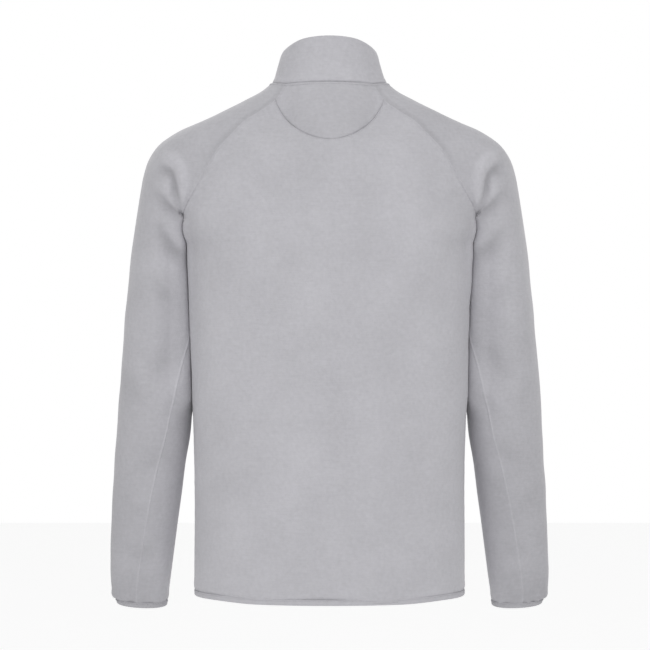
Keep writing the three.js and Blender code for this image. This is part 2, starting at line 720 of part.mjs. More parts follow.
function tabGeometry() {
  const { lug, plate, neck } = TAB;
  const [out, up] = SLIDER.pivot;
  const thickness = [out - plate.thickness / 2, out + plate.thickness / 2];
  const neckTop = up - lug.bore - neck.belowBore;
  const plateTop = neckTop - neck.length;
  const outline = new THREE.Shape();
  const half = plate.halfWidth;
  const round = plate.corner;
  const low = plateTop - plate.length;
  outline.moveTo(-half + round, plateTop);
  outline.lineTo(half - round, plateTop);
  outline.absarc(half - round, plateTop - round, round, Math.PI / 2, 0, true);
  outline.absarc(half - round, low + round, round, 0, -Math.PI / 2, true);
  outline.absarc(-half + round, low + round, round, -Math.PI / 2, -Math.PI, true);
  outline.absarc(-half + round, plateTop - round, round, Math.PI, Math.PI / 2, true);
  const extruded = new THREE.ExtrudeGeometry(outline, {
    depth: plate.thickness,
    bevelEnabled: false,
    curveSegments: 4,
  });
  extruded.rotateX(Math.PI / 2).translate(0, -thickness[0], 0);
  return joined([
    roller(lug.radius, lug.bore, [-lug.halfWidth, lug.halfWidth], SLIDER.pivot),
    block(lug.halfWidth, thickness, [plateTop - neck.setIn, neckTop]),
    extruded,
  ]);
}

// Assembly
const jacket = new THREE.Group();
jacket.name = "fleece_zip_jacket";

function add(name, geometry, look, parent = jacket) {
  const mesh = new THREE.Mesh(geometry, new THREE.MeshStandardMaterial(look));
  mesh.name = name;
  geometry.computeVertexNormals();
  parent.add(mesh);
  return mesh;
}

function addPair(name, piece, look, outer, inner) {
  add(`${name}_left`, wall(piece, outer, inner), look);
  add(`${name}_right`, wall(mirrorSheet(piece), outer, inner), look);
}

add("back", wall(backSheet, 0, CLOTH), FLEECE);
add("yoke", wall(yokeSheet, 0, CLOTH, YOKE_DRAW_BACK), FLEECE);
addPair("front", frontSheet, FLEECE, 0, CLOTH);
addPair("sleeve", sleeveSheet, FLEECE, 0, CLOTH);
add("collar", wall(collarSheet, 0, CLOTH), FLEECE);
add("hem_binding", wall(hemSheet, -BINDING_PROUD, CLOTH), BINDING);
addPair("cuff_binding", cuffSheet, BINDING, -BINDING_PROUD, CLOTH);

const tapeDepth = CLOTH + TAPE_GAP;
addPair("zip_tape", tapeSheet, TAPE, tapeDepth, tapeDepth + TAPE_THICKNESS);
add("zip_chain", wall(chainSheet, CHAIN.outerDepth, CHAIN.innerDepth), TEETH);
add("zip_stop_box", wall(stopSheet, STOP_BOX.outerDepth, CHAIN.innerDepth), METAL);

const slider = new THREE.Group();
slider.position.copy(zipRow(sliderPlace, [0])[0]);
slider.rotation.x = -Math.atan2(collarTop.y - collarFoot.y, collarTop.z - collarFoot.z);
add("zip_slider", sliderGeometry(), METAL, slider);
add("pull_tab", tabGeometry(), METAL, slider);
jacket.add(slider);

export default jacket;
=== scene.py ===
"""Fleece zip jacket, filled out as worn and seen from behind.

Every cloth piece is a surface worked out with numpy in millimetres, from the same seam tables as
the CAD model, and is given its wall, seams, folds and stitches here. +X is the wearer's left, -Y
the front and +Z up; the origin is the centre of the neck base.
"""

import functools
import math

import bpy
import numpy as np
from bpy.props import FloatProperty, FloatVectorProperty, PointerProperty
from bpy.types import Operator, Panel, PropertyGroup
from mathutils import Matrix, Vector


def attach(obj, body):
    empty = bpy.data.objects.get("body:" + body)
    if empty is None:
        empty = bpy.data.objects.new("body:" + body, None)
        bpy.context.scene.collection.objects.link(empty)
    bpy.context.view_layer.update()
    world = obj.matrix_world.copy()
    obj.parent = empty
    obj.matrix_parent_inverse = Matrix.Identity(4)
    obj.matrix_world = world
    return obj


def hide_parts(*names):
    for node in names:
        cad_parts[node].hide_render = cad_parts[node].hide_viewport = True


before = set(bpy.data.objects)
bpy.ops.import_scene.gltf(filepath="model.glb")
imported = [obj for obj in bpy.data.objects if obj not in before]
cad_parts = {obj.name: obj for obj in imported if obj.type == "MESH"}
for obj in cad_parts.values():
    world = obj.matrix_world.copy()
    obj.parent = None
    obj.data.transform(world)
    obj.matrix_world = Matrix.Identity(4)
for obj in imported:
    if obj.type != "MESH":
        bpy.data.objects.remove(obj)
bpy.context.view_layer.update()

bl_info = {
    "name": "Fleece zip jacket",
    "version": (1, 0, 0),
    "blender": (4, 5, 0),
    "location": "3D View > Sidebar > Jacket",
    "description": "Builds a raglan fleece jacket with a stand collar, a yoke, bindings and a zip",
    "category": "Add Mesh",
}

MM = 0.001
JACKET = "jacket"


def linear(code):
    """An sRGB hex colour as linear red, green and blue."""
    srgb = np.array([int(code[i : i + 2], 16) for i in (1, 3, 5)]) / 255
    return tuple(np.where(srgb <= 0.04045, srgb / 12.92, ((srgb + 0.055) / 1.055) ** 2.4))


# Settings


def length(name, description, default, low, high):
    """A length property in metres."""
    return FloatProperty(
        name=name, description=description, default=default, min=low, max=high, precision=5,
        subtype="DISTANCE", unit="LENGTH",
    )


def colour(name, description, code):
    """A colour property, from an sRGB hex value."""
    return FloatVectorProperty(
        name=name, description=description, default=linear(code), min=0.0, max=1.0, size=3,
        subtype="COLOR",
    )


def factor(name, description, default, high):
    """A plain factor property."""
    return FloatProperty(
        name=name, description=description, default=default, min=0.0, max=high, subtype="FACTOR"
    )


class ClothSettings(PropertyGroup):
    """The fleece and how it is sewn."""

    thickness: length("Thickness", "Thickness of the fleece", 0.0022, 0.001, 0.003)
    colour: colour("Fleece", "Colour of the fleece", "#BEBDC2")
    nap: length("Nap", "Size of a tuft of the nap", 0.0011, 0.0002, 0.01)
    folds: factor("Folds", "How deep the folds are, against those of the photograph", 1.0, 2.0)
    seams: factor("Seams", "How deep the seams sink", 1.0, 3.0)
    allowance: length("Seam allowance", "Width of the sewn edges inside", 0.007, 0.002, 0.015)
    allowance_colour: colour("Overlock", "Colour of the overlocked edges inside", "#B3B2B7")


class TrimSettings(PropertyGroup):
    """The elastic bindings and the stitching."""

    binding_colour: colour("Binding", "Colour of the elastic binding", "#BFBEC3")
    gathers: length("Gathers", "How far the binding's gathers stand out", 0.00022, 0.0, 0.001)
    gather_pitch: length("Gather pitch", "Length of one gather", 0.0042, 0.001, 0.02)
    thread_colour: colour("Thread", "Colour of the sewing thread", "#B6B5BA")
    stitch_pitch: length("Stitch pitch", "Distance from stitch to stitch", 0.003, 0.0015, 0.01)
    thread: length("Thread thickness", "Thickness of the sewing thread", 0.00042, 0.0001, 0.001)


class ZipSettings(PropertyGroup):
    """The zip."""

    tape_colour: colour("Tape", "Colour of the woven tape", "#AEADB2")
    teeth_colour: colour("Teeth", "Colour of the moulded teeth", "#A7A6AB")
    metal_colour: colour("Metal", "Colour of the slider, pull tab and stop box", "#A4A4A8")
    tooth_pitch: length("Tooth pitch", "From tooth to tooth on one tape", 0.003, 0.002, 0.006)


class StudioSettings(PropertyGroup):
    """The camera, lights and floor."""

    focal: FloatProperty(
        name="Focal length", description="Lens of the camera", default=141.5, min=20, max=500,
        unit="CAMERA",
    )
    distance: length("Distance", "From the camera to the jacket's middle", 3.5, 0.5, 20)
    side: length("Sideways", "How far the camera stands to the side", 0.0062, -1, 1)
    height: length("Height", "Height of the camera over the neck", -0.3, -2, 2)
    floor_drop: length("Floor", "How far the floor lies below the neck", 1.5, 0.7, 3)
    floor_colour: colour("Floor", "Colour of the floor", "#F4F4F4")


# Tables of the pattern, in millimetres and degrees, as in the CAD model

HEM_Z = -671.0
UNDERARM_Z = -190.0
BINDING_HEIGHT = 7.0
HEM_LIFT = 2.4
FRONT_EDGE_X = 7.0
YOKE_START = 0.082
SLEEVE_DROP = 498.0
NECK_Y = -5.0
NECK_HALF_WIDTH = 79.5
NECK_DEPTH = 73.0
RIM_HALF_WIDTH = 66.0
RIM_BACK = 61.0
RIM_FRONT = 60.0
RIM_BACK_Z = 89.7
RIM_SLOPE = 0.32
COLLAR_BOW = 1.5
EDGE_CLIMB = 0.35
TAPE_OUTER_X = 17.0
TAPE_INNER_X = 1.3
TAPE_DEPTH = 2.8
TAPE_THICKNESS = 0.85
STOP_BOX_HEIGHT = 9.0
SLIDER_BELOW_RIM = 11.0
CHAIN_ABOVE_SLIDER = 0.9

SIGN = {"back": 1.0, "front": -1.0}

# Which way each side's pieces turn: the wearer's right ones are the left ones' mirror images
MIRROR = np.array([-1.0, 1.0, 1.0])
HANDS = {"left": np.ones(3), "right": MIRROR}

# Rows of stitches: how far they run from the front edge, the neck seam and the other seams, and
# how many rows of the grid stay free of them at the ends of the raglan seam and of the zip
ZIP_ROWS = (2.2, 9.5)
NECK_ROW = 4.1
SEAM_ROW = 2.4
RAGLAN_SKIP = 8
ZIP_SKIP = 6

# How sewn edges sink, puff up beside the seam line, and how far off: the body's sides, and the
# raglan seam, which lies on the body as a soft light welt and hardly sinks
SIDE_SEWN = (0.55, 0.5)
RAGLAN_SEWN = (-0.3, 0.6, 3.2)

# How far from a side or raglan seam, a neck seam or arc, and a cuff the folds die out, and over
# how much of its end a raglan seam flattens into the neck seam
SIDE_CALM = 20
NECK_CALM = 14
SLEEVE_NECK_CALM = 12
CUFF_CALM = (9, 22)
SEAM_END = 6

# Drop below the underarm over which the place along the sleeve grows by one
ARM_UNIT = 480

# How much more the binding's ribs stand out at the cuffs than at the hem
CUFF_GATHERS = 1.8


def smooth_table(rows):
    """A reader of a table whose first column is the key: between two rows it follows the cubic
    that meets both with slopes averaged from the straight lines on either side."""
    rows = np.array(rows, float)
    key, value = rows[:, 0], rows[:, 1:]
    step = np.diff(key)[:, None]
    secant = np.diff(value, axis=0) / step
    inner = (secant[:-1] * step[1:] + secant[1:] * step[:-1]) / (step[1:] + step[:-1])
    slope = np.vstack([secant[:1], inner, secant[-1:]])

    def read(at):
        at = np.clip(np.asarray(at, float), key[0], key[-1])
        i = np.clip(np.searchsorted(key, at, side="right") - 1, 0, len(key) - 2)
        span = (key[i + 1] - key[i])[..., None]
        f = (at - key[i])[..., None] / span
        return (
            value[i] * (1 - f) ** 2 * (1 + 2 * f)
            + value[i + 1] * f * f * (3 - 2 * f)
            + slope[i] * span * f * (1 - f) ** 2
            - slope[i + 1] * span * f * f * (1 - f)
        )

    return read


# Raglan seams from the neck (0) to the underarm (1): x, y, z, lead and reach
RAGLAN = {
    "back": smooth_table([
        [0, 59, 49, 26, -42, 20],
        [0.082, 73, 65, 3, -36, 25],
        [0.17, 93, 78, -13, -32, 29],
        [0.252, 113, 87, -26.5, -29, 32],
        [0.34, 131, 94, -45, -27, 36],
        [0.446, 152, 98, -69, -24, 40],
        [0.531, 165, 97, -92, -17, 42],
        [0.597, 174, 92, -109, -8, 42],
        [0.685, 186.5, 80, -130, 14, 40],
        [0.76, 195, 67, -146, 38, 40],
        [0.8, 197, 58, -154.5, 50, 42],
        [0.9, 196.4, 31, -170, 76, 62],
        [1, 192.6, 0, -190, 90, 93],
    ]),
    "front": smooth_table([
        [0, 64, -46, 2, -42, 20],
        [0.1, 84, -70, -15, -36, 25],
        [0.22, 108, -87, -38, -32, 30],
        [0.35, 132, -96, -62, -29, 36],
        [0.47, 154, -98, -88, -24, 40],
        [0.6, 172, -91, -114, -8, 42],
        [0.71, 186, -77, -138, 18, 40],
        [0.81, 193, -56, -154, 50, 42],
        [0.905, 195, -29, -170, 76, 62],
        [1, 192.6, 0, -190, 90, 93],
    ]),
}

# Side seam: height and distance from the centre
SIDE_SEAM = smooth_table([
    [-671, 184.5], [-480, 184.8], [-416, 186.7], [-375, 188], [-303, 189.5], [-266, 190.2],
    [-223, 191.4], [-190, 192.6],
])

# Outline from the side at the centre: height and depth
CENTRE = {
    "back": smooth_table([
        [-671, 126], [-600, 123], [-520, 119], [-450, 117], [-380, 120], [-300, 127],
        [-240, 133], [-180, 137], [-140, 136], [-100, 130.5], [-53, 117], [-12, 95], [27.5, 68],
    ]),
    "front": smooth_table([
        [-671, -126], [-600, -129], [-500, -131], [-400, -130], [-300, -130], [-200, -130],
        [-140, -126], [-100, -118], [-60, -102], [-24, -78],
    ]),
}

# Rows of the body from the hem (0) past the underarm (1) to the neck (2): height at the centre,
# turn at the outer edge, centre handle as a share of the width, and outer handle
ROWS = {
    "back": smooth_table([
        [0, -671, 90, 0.58, 80],
        [0.3, -526.7, 90, 0.6, 82],
        [0.6, -382.4, 90, 0.62, 96],
        [0.85, -262.2, 90, 0.62, 110],
        [1, -190, 90, 0.62, 121],
        [1.1, -172, 86, 0.62, 91],
        [1.2, -153, 72, 0.62, 62],
        [1.3, -132, 52, 0.62, 49],
        [1.4, -110, 40, 0.62, 46],
        [1.5, -92, 32, 0.61, 45],
        [1.6, -77, 29, 0.6, 42],
        [1.7, -66.5, 29, 0.58, 37],
        [1.8, -59, 31, 0.56, 31],
        [1.918, -53, 36, 0.52, 24],
    ]),
    "front": smooth_table([
        [0, -671, 90, 0.58, 80],
        [0.3, -526.7, 90, 0.58, 85],
        [0.6, -382.4, 90, 0.58, 96],
        [0.85, -262.2, 90, 0.6, 108],
        [1, -190, 90, 0.6, 117],
        [1.1, -174, 86, 0.6, 89],
        [1.2, -157, 72, 0.6, 60],
        [1.3, -140, 54, 0.6, 46],
        [1.4, -124, 41, 0.6, 46],
        [1.5, -107, 34, 0.58, 45],
        [1.6, -90, 31, 0.56, 41],
        [1.7, -73, 31, 0.54, 35],
        [1.8, -57, 34, 0.52, 29],
        [1.9, -41, 38, 0.5, 24],
        [2, -24, 42, 0.48, 19],
    ]),
}

# Rows of the yoke from its arc (0) to the neck seam (1), as above
YOKE_ROWS = smooth_table([
    [0, -53, 36, 0.52, 24],
    [0.35, -22, 38, 0.5, 22],
    [0.7, 7, 40, 0.49, 20],
    [1, 27.5, 42, 0.48, 18],
])

# Sleeve's outer line over the shoulder: x, y, z and the handles to the back and front
SHOULDER = smooth_table([
    [0, 79.5, 3, 30, 24, 26],
    [0.05, 91, 3.5, 20.5, 30, 32],
    [0.141, 114, 4, 8, 40, 42],
    [0.267, 147, 2, -8, 52, 54],
    [0.407, 184, -1, -25, 65, 66],
    [0.474, 202, -1.5, -33, 70, 71],
    [0.54, 218, -2, -42.5, 74, 75],
    [0.598, 232, -3, -53, 78, 78],
    [0.65, 241.5, -3.5, -64.5, 80, 81],
    [0.687, 247, -4, -74, 82, 83],
    [0.763, 254, -4, -95, 85, 86],
    [0.833, 258, -5, -115, 87, 88],
    [0.906, 263, -5, -146, 90, 91],
    [1, 268.3, -5.5, -180, 93, 93],
])

# Sleeve below the underarm: drop, outer and inner x, middle y, inner y, tilt, half depths to the
# back and front, and lean
LOWER_SLEEVE = smooth_table([
    [0, 268.3, 192.6, -5.5, 0, 10, 70, 70, 0],
    [24, 271.8, 193.8, -7, -4, 8, 71, 71, -0.01],
    [58, 275.3, 193.4, -9, -8, 6, 71, 71, -0.02],
    [100, 280, 192.4, -13, -13, 6, 68, 69, -0.04],
    [140, 283, 191.5, -17, -17, 6, 65, 66, -0.06],
    [182, 287.4, 190.3, -21, -21, 6, 61, 62, -0.08],
    [223, 290.8, 189.4, -26, -26, 5, 56, 57, -0.1],
    [264, 293.4, 192, -30, -30, 5, 52, 53, -0.11],
    [305, 296.4, 199, -33, -33, 5, 48, 49, -0.115],
    [346, 300, 204.2, -36, -36, 5, 45, 45, -0.115],
    [387, 301.6, 209.8, -38, -38, 4, 42, 42, -0.115],
    [428, 302.8, 215.2, -40, -40, 4, 38, 38, -0.115],
    [469, 302.8, 220.6, -42, -42, 4, 33.5, 33, -0.115],
    [486, 301.2, 223, -43, -43, 4, 31, 31, -0.115],
    [498, 296.6, 224.4, -43, -43, 3, 29, 29, -0.115],
    [505, 294, 225.4, -43, -43, 3, 28, 28, -0.115],
])

# Where the sleeve's own seam runs on the back of the arm: drop and place round the arm
SLEEVE_SEAM = smooth_table([
    [0, 0.95], [60, 0.92], [110, 0.82], [150, 0.735], [190, 0.69], [230, 0.66], [300, 0.593],
    [360, 0.548], [442, 0.497], [498, 0.457],
])

# The place round the arm of the grid's column that follows it, and where it lies at the underarm
SEAM_COLUMN = 0.7
SEAM_START = 0.95

# Folds as seen from behind or from the front, in left-hand places: x, z, depth and half width.
# A depth below zero is a ridge. The first sleeve is the wearer's left.
SLEEVE_FOLDS = {
    "left": {
        "back": [
            [[234, -86, 0, 8], [222, -90, 4, 6], [212, -96, 5.6, 5], [208, -108, 6, 4.6],
             [205, -124, 5.6, 4.6], [201, -138, 4.2, 4.6], [197, -152, 1.4, 4.6]],
            [[240, -114, 0, 8], [228, -127, 2.8, 6.5], [216, -140, 4.4, 5], [206, -149, 3.4, 4.8],
             [199, -155, 0.8, 5]],
            [[236, -156, 0, 9], [226, -171, 2.4, 7], [215, -188, 4, 6], [206, -199, 4, 5.6],
             [197, -204, 2, 6]],
            [[228, -71, 0, 9], [214, -75, -2, 8], [203, -86, -3.2, 8], [197, -104, -2.4, 7],
             [195, -122, 0, 6]],
            [[222, -128, 0, 6], [217, -120, -1.2, 6], [214, -106, -1.6, 6], [222, -97, 0, 6]],
            [[246, -226, 0, 9], [234, -241, 1.3, 9], [221, -258, 1.6, 8], [212, -270, 0, 8]],
            [[232, -205, 0, 8], [222, -214, -1, 8], [208, -224, -1.2, 8], [198, -228, 0, 8]],
            [[214, -330, 0, 10], [224, -352, 1.5, 10], [238, -372, 1.2, 10], [252, -384, 0, 10]],
            [[196, -352, 0, 9], [206, -376, -1.2, 10], [222, -398, -1.2, 10], [240, -412, 0, 10]],
            [[288, -350, 0, 10], [276, -372, 1.2, 10], [262, -392, 1, 10], [248, -404, 0, 10]],
            [[222, -472, 0, 9], [236, -486, 1.2, 9], [252, -494, 0.9, 9], [270, -498, 0, 9]],
            [[288, -520, 0, 9], [274, -542, 0.9, 9], [256, -556, 0.8, 9], [240, -562, 0, 9]],
            [[232, -604, 0, 8], [246, -614, 1, 8], [264, -616, 0.9, 8], [282, -608, 0, 8]],
        ],
        "front": [
            [[236, -84, 0, 8], [226, -90, 3, 6.5], [214, -100, 4.6, 5.5], [207, -118, 5, 5],
             [201, -138, 4.8, 5], [196, -154, 4.2, 5]],
            [[244, -122, 0, 8], [230, -136, 2, 7], [216, -147, 3.4, 6], [198, -157, 3.4, 5.5]],
            [[240, -168, 0, 9], [228, -186, 2, 8], [214, -200, 3, 7], [198, -208, 2.4, 7]],
            [[238, -214, 0, 9], [224, -230, 1.6, 9], [208, -242, 1.6, 8], [196, -246, 0, 8]],
            [[212, -316, 0, 9], [226, -330, 3, 8], [246, -338, 3.4, 8], [268, -334, 0, 9]],
            [[208, -350, 0, 9], [224, -366, 3, 8], [244, -374, 3, 8], [268, -372, 0, 9]],
            [[214, -392, 0, 9], [230, -404, 2.2, 8], [250, -408, 2, 8], [270, -402, 0, 9]],
            [[226, -470, 0, 9], [242, -484, 1.4, 8], [260, -488, 1.2, 8], [280, -484, 0, 9]],
            [[232, -590, 0, 8], [248, -602, 1.2, 7], [266, -604, 1, 7], [284, -598, 0, 8]],
        ],
    },
    "right": {
        "back": [
            [[236, -84, 0, 8], [224, -88, 3.8, 6], [214, -96, 5.4, 5], [210, -106, 6, 4.4],
             [208, -122, 5.6, 4.4], [203, -137, 4.2, 4.6], [197, -151, 1.4, 4.6]],
            [[240, -112, 0, 8], [229, -126, 2.8, 6.5], [219, -137, 4.2, 5.2], [208, -147, 3.2, 4.8],
             [199, -154, 0.8, 5]],
            [[238, -162, 0, 9], [228, -176, 1.8, 8], [216, -191, 3, 7], [206, -199, 3, 6],
             [197, -204, 1.8, 6]],
            [[230, -72, 0, 9], [216, -76, -2, 8], [205, -88, -3, 8], [199, -106, -2.2, 7],
             [196, -124, 0, 6]],
            [[224, -126, 0, 6], [219, -118, -1.2, 6], [216, -106, -1.4, 6], [224, -98, 0, 6]],
            [[250, -232, 0, 9], [238, -246, 1, 9], [224, -260, 1.3, 8], [214, -268, 0, 8]],
            [[230, -212, 0, 8], [220, -219, -0.8, 8], [208, -226, -1, 8], [198, -228, 0, 8]],
            [[210, -322, 0, 10], [220, -346, 1.4, 10], [236, -366, 1.2, 10], [254, -378, 0, 10]],
            [[198, -360, 0, 9], [210, -386, -1.2, 10], [226, -404, -1, 10], [244, -414, 0, 10]],
            [[286, -362, 0, 10], [272, -384, 1, 10], [258, -400, 0.9, 10], [244, -408, 0, 10]],
            [[220, -456, 0, 9], [234, -472, 1.1, 9], [250, -482, 0.8, 9], [268, -486, 0, 9]],
            [[290, -508, 0, 9], [276, -530, 0.9, 9], [258, -546, 0.7, 9], [242, -552, 0, 9]],
            [[230, -598, 0, 8], [246, -610, 1, 8], [262, -613, 0.8, 8], [280, -606, 0, 8]],
        ],
        "front": [
            [[238, -86, 0, 8], [228, -93, 3, 6.5], [215, -104, 4.4, 5.5], [208, -122, 4.8, 5],
             [202, -140, 4.6, 5], [196, -154, 4, 5]],
            [[242, -126, 0, 8], [229, -139, 2, 7], [215, -149, 3.2, 6], [198, -158, 3.2, 5.5]],
            [[238, -174, 0, 9], [226, -190, 1.8, 8], [213, -203, 2.8, 7], [198, -210, 2.4, 7]],
            [[240, -222, 0, 9], [226, -236, 1.4, 9], [210, -248, 1.5, 8], [196, -252, 0, 8]],
            [[214, -324, 0, 9], [228, -338, 2.8, 8], [248, -345, 3.1, 8], [268, -340, 0, 9]],
            [[210, -356, 0, 9], [226, -372, 3, 8], [246, -380, 2.8, 8], [268, -376, 0, 9]],
            [[214, -400, 0, 9], [230, -412, 2, 8], [250, -415, 1.8, 8], [270, -408, 0, 9]],
            [[224, -480, 0, 9], [240, -492, 1.3, 8], [258, -496, 1.1, 8], [280, -490, 0, 9]],
            [[232, -596, 0, 8], [248, -606, 1.2, 7], [266, -608, 1, 7], [284, -602, 0, 8]],
        ],
    },
}

# Body folds, with true signs of x: x, z, depth and half width
BODY_FOLDS = {
    "back": [
        [[186, -172, 0, 12], [168, -196, 1.2, 13], [140, -226, 1.2, 15], [112, -250, 0, 16]],
        [[-186, -174, 0, 12], [-170, -200, 1.2, 13], [-146, -230, 1, 15], [-118, -256, 0, 16]],
        [[150, -120, 0, 14], [128, -140, -2, 16], [96, -158, -1.2, 18], [60, -168, 0, 20]],
        [[-150, -120, 0, 14], [-126, -141, -1.9, 16], [-96, -160, -1.1, 18], [-58, -172, 0, 20]],
        [[120, -430, 0, 20], [60, -446, 1.5, 20], [-10, -452, 1.8, 20], [-80, -444, 1.2, 20],
         [-130, -430, 0, 20]],
        [[140, -500, 0, 22], [90, -520, -1.2, 22], [20, -530, -1.4, 22], [-60, -524, -1, 22],
         [-120, -508, 0, 22]],
        [[170, -560, 0, 18], [130, -592, 1.2, 18], [84, -616, 1.2, 18], [40, -628, 0, 18]],
        [[-168, -548, 0, 18], [-132, -584, 1.1, 18], [-90, -612, 1.2, 18], [-46, -626, 0, 18]],
    ],
    "front": [
        [[186, -176, 0, 12], [166, -200, 1.8, 12], [140, -226, 1.8, 14], [110, -248, 0, 15]],
        [[-186, -178, 0, 12], [-168, -204, 1.8, 12], [-142, -232, 1.6, 14], [-112, -256, 0, 15]],
        [[170, -150, 0, 10], [158, -128, 1.6, 10], [140, -108, 1.4, 12], [120, -96, 0, 12]],
        [[-170, -152, 0, 10], [-157, -130, 1.6, 10], [-140, -110, 1.3, 12], [-121, -98, 0, 12]],
        [[130, -470, 0, 18], [90, -494, 1.6, 18], [40, -506, 1.4, 18], [10, -508, 0, 16]],
        [[-134, -460, 0, 18], [-92, -486, 1.5, 18], [-44, -500, 1.5, 18], [-10, -504, 0, 16]],
        [[168, -566, 0, 18], [130, -594, 1.4, 18], [84, -612, 1.3, 18], [40, -618, 0, 18]],
        [[-166, -560, 0, 18], [-130, -590, 1.4, 18], [-86, -610, 1.2, 18], [-42, -618, 0, 18]],
    ],
}


# Grid steps: the columns and rows crowd together where a seam needs them

SEAM_SPACING = np.array([0.6, 1.2, 1.8, 2.5, 3.3, 4.3, 5.6, 7.5, 10, 14])


def shares(count, start=0.0, end=0.0):
    """Even shares from 0 to 1, with the seam's finer spacing near an end whose millimetres for
    each unit are given."""
    low = SEAM_SPACING / start if start else np.zeros(0)
    high = 1 - SEAM_SPACING[::-1] / end if end else np.zeros(0)
    even = np.linspace(0, 1, count)
    first = low[-1] + 0.6 / count if start else 0.3 / count
    last = high[0] - 0.6 / count if end else 1 - 0.3 / count
    middle = even[(even > first) & (even < last)]
    return np.concatenate([[0], low, middle, high, [1]])


NECK_ALONG = [0, 0.0006, 0.0012, 0.002, 0.003, 0.0042, 0.0058, 0.008, 0.011, 0.015, 0.02]
YOKE_ALONG = [0.026, 0.033, 0.04, 0.048, 0.055, 0.061, 0.066, 0.07, 0.073, 0.0755, 0.0775, 0.079]
ARC_ALONG = [0.0801, 0.0808, 0.0814, YOKE_START, 0.0832, 0.0846, 0.0864, 0.0888, 0.092, 0.0962]
ALONG = np.concatenate([NECK_ALONG, YOKE_ALONG, ARC_ALONG, np.linspace(0.102, 1, 90)])
YOKE_COUNT = int(np.flatnonzero(ALONG == YOKE_START)[0])
BODY_HEIGHT = UNDERARM_Z - HEM_Z
HEM_TUCK = 2.5
SIDE_UP = np.concatenate([
    np.array([HEM_TUCK, 4.5, 6, 6.6, 7.2, 7.8, 8.6, 9.6, 11, 13, 16, 20, 25]) / BODY_HEIGHT,
    np.linspace(31 / BODY_HEIGHT, 1, 66)[:-1],
])
HALF_BACK = shares(62, end=250)
FRONT_SHARE = shares(66, start=230, end=250)
CUFF_TUCK = 2.5
DROPS = np.concatenate([
    np.linspace(0, 478, 92)[1:],
    [482, 485.5, 488.5, 491, 493, 494.6, 495.8, 496.7, 497.4, 498, 498.6, 499.4, 500.6, 502.5],
])
ARM_SPACING = np.array([0.5, 1, 1.6, 2.4, 3.5, 5, 7]) / 150
ARM_FRONT = -shares(74, end=160)[::-1]
ARM_BACK = np.unique(np.concatenate([
    shares(88, end=160), SEAM_COLUMN - ARM_SPACING, [SEAM_COLUMN], SEAM_COLUMN + ARM_SPACING
]))
ARM_COLUMNS = np.concatenate([ARM_FRONT[:-1], ARM_BACK])
SEAM_AT = int(np.abs(ARM_COLUMNS - SEAM_COLUMN).argmin())
COLLAR_SHARE = np.concatenate([
    np.array([0, 0.6, 1.2, 1.8, 2.5, 3.3, 4.3, 5.6, 7.5]) / 62, np.linspace(0.16, 1, 18)
])


# Surfaces


def unit(vectors):
    """Each vector at length one."""
    size = np.linalg.norm(vectors, axis=-1, keepdims=True)
    return vectors / np.maximum(size, 1e-9)


def cubic(p0, p1, p2, p3, t):
    """The cubic curve from p0 to p3 that leaves towards p1 and arrives from p2."""
    s = 1 - t
    return p0 * s**3 + 3 * p1 * s * s * t + 3 * p2 * s * t * t + p3 * t**3


def ease(value, low, high):
    """0 below low, 1 above high, and a smooth rise between."""
    f = np.clip((value - low) / (high - low), 0, 1)
    return f * f * (3 - 2 * f)


def bell(value, middle, width):
    """1 at the middle, falling off on both sides: e to the minus square of the distance over
    the width."""
    return np.exp(-(((value - middle) / width) ** 2))


def row_surface(side, row, edge, t):
    """Across a row of the body: x and y each follow a cubic from the centre line (t 0) to the
    edge (t 1), flat at the centre, and z climbs to the edge's height with the square of the
    share of the width, steeper near the edge."""
    z, turn, centre, reach = (row[..., k] for k in range(4))
    turn = np.radians(turn)
    middle = CENTRE[side](z)[..., 0]
    x_edge, y_edge, z_edge = (edge[..., k] for k in range(3))
    x = cubic(0, centre * x_edge, x_edge - reach * np.cos(turn), x_edge, t)
    y = cubic(middle, middle, y_edge + SIGN[side] * reach * np.sin(turn), y_edge, t)
    share = x / x_edge
    rise = share**2 * (1 + EDGE_CLIMB * share**6) / (1 + EDGE_CLIMB)
    return np.stack([x, y, z + (z_edge - z) * rise], -1)


def body_surface(side, up, t):
    """The body's left half: rows climb from the hem (up 0) past the underarm (1) to the neck
    (2), and end on the side seam below the underarm and on the raglan seam above it."""
    up = np.asarray(up, float)
    low = HEM_Z + BODY_HEIGHT * np.minimum(up, 1)
    side_edge = np.stack([SIDE_SEAM(low)[..., 0], 0 * low, low], -1)
    raglan_edge = RAGLAN[side](np.clip(2 - up, 0, 1))[..., :3]
    edge = np.where(up[..., None] > 1, raglan_edge, side_edge)
    return row_surface(side, ROWS[side](up), edge, t)


def yoke_surface(up, t):
    """The yoke's left half, from its arc (up 0) to the neck seam (1), as the body's rows."""
    edge = RAGLAN["back"](YOKE_START * (1 - up))[..., :3]
    return row_surface("back", YOKE_ROWS(up), edge, t)


def front_share(up, x):
    """The share along a row of the front at which it lies x from the centre, by halving."""
    low, high = np.zeros(np.broadcast(up, x).shape), np.ones(np.broadcast(up, x).shape)
    for _ in range(30):
        middle = (low + high) / 2
        short = body_surface("front", np.broadcast_to(up, middle.shape), middle)[..., 0] < x
        low, high = np.where(short, middle, low), np.where(short, high, middle)
    return low


def front_rows(up):
    """The left front's rows, from the side seam to the front edge."""
    start = front_share(up, np.full((1, 1), FRONT_EDGE_X))
    share = start + (1 - start) * FRONT_SHARE[None, ::-1]
    return body_surface("front", np.broadcast_to(up, share.shape), share)


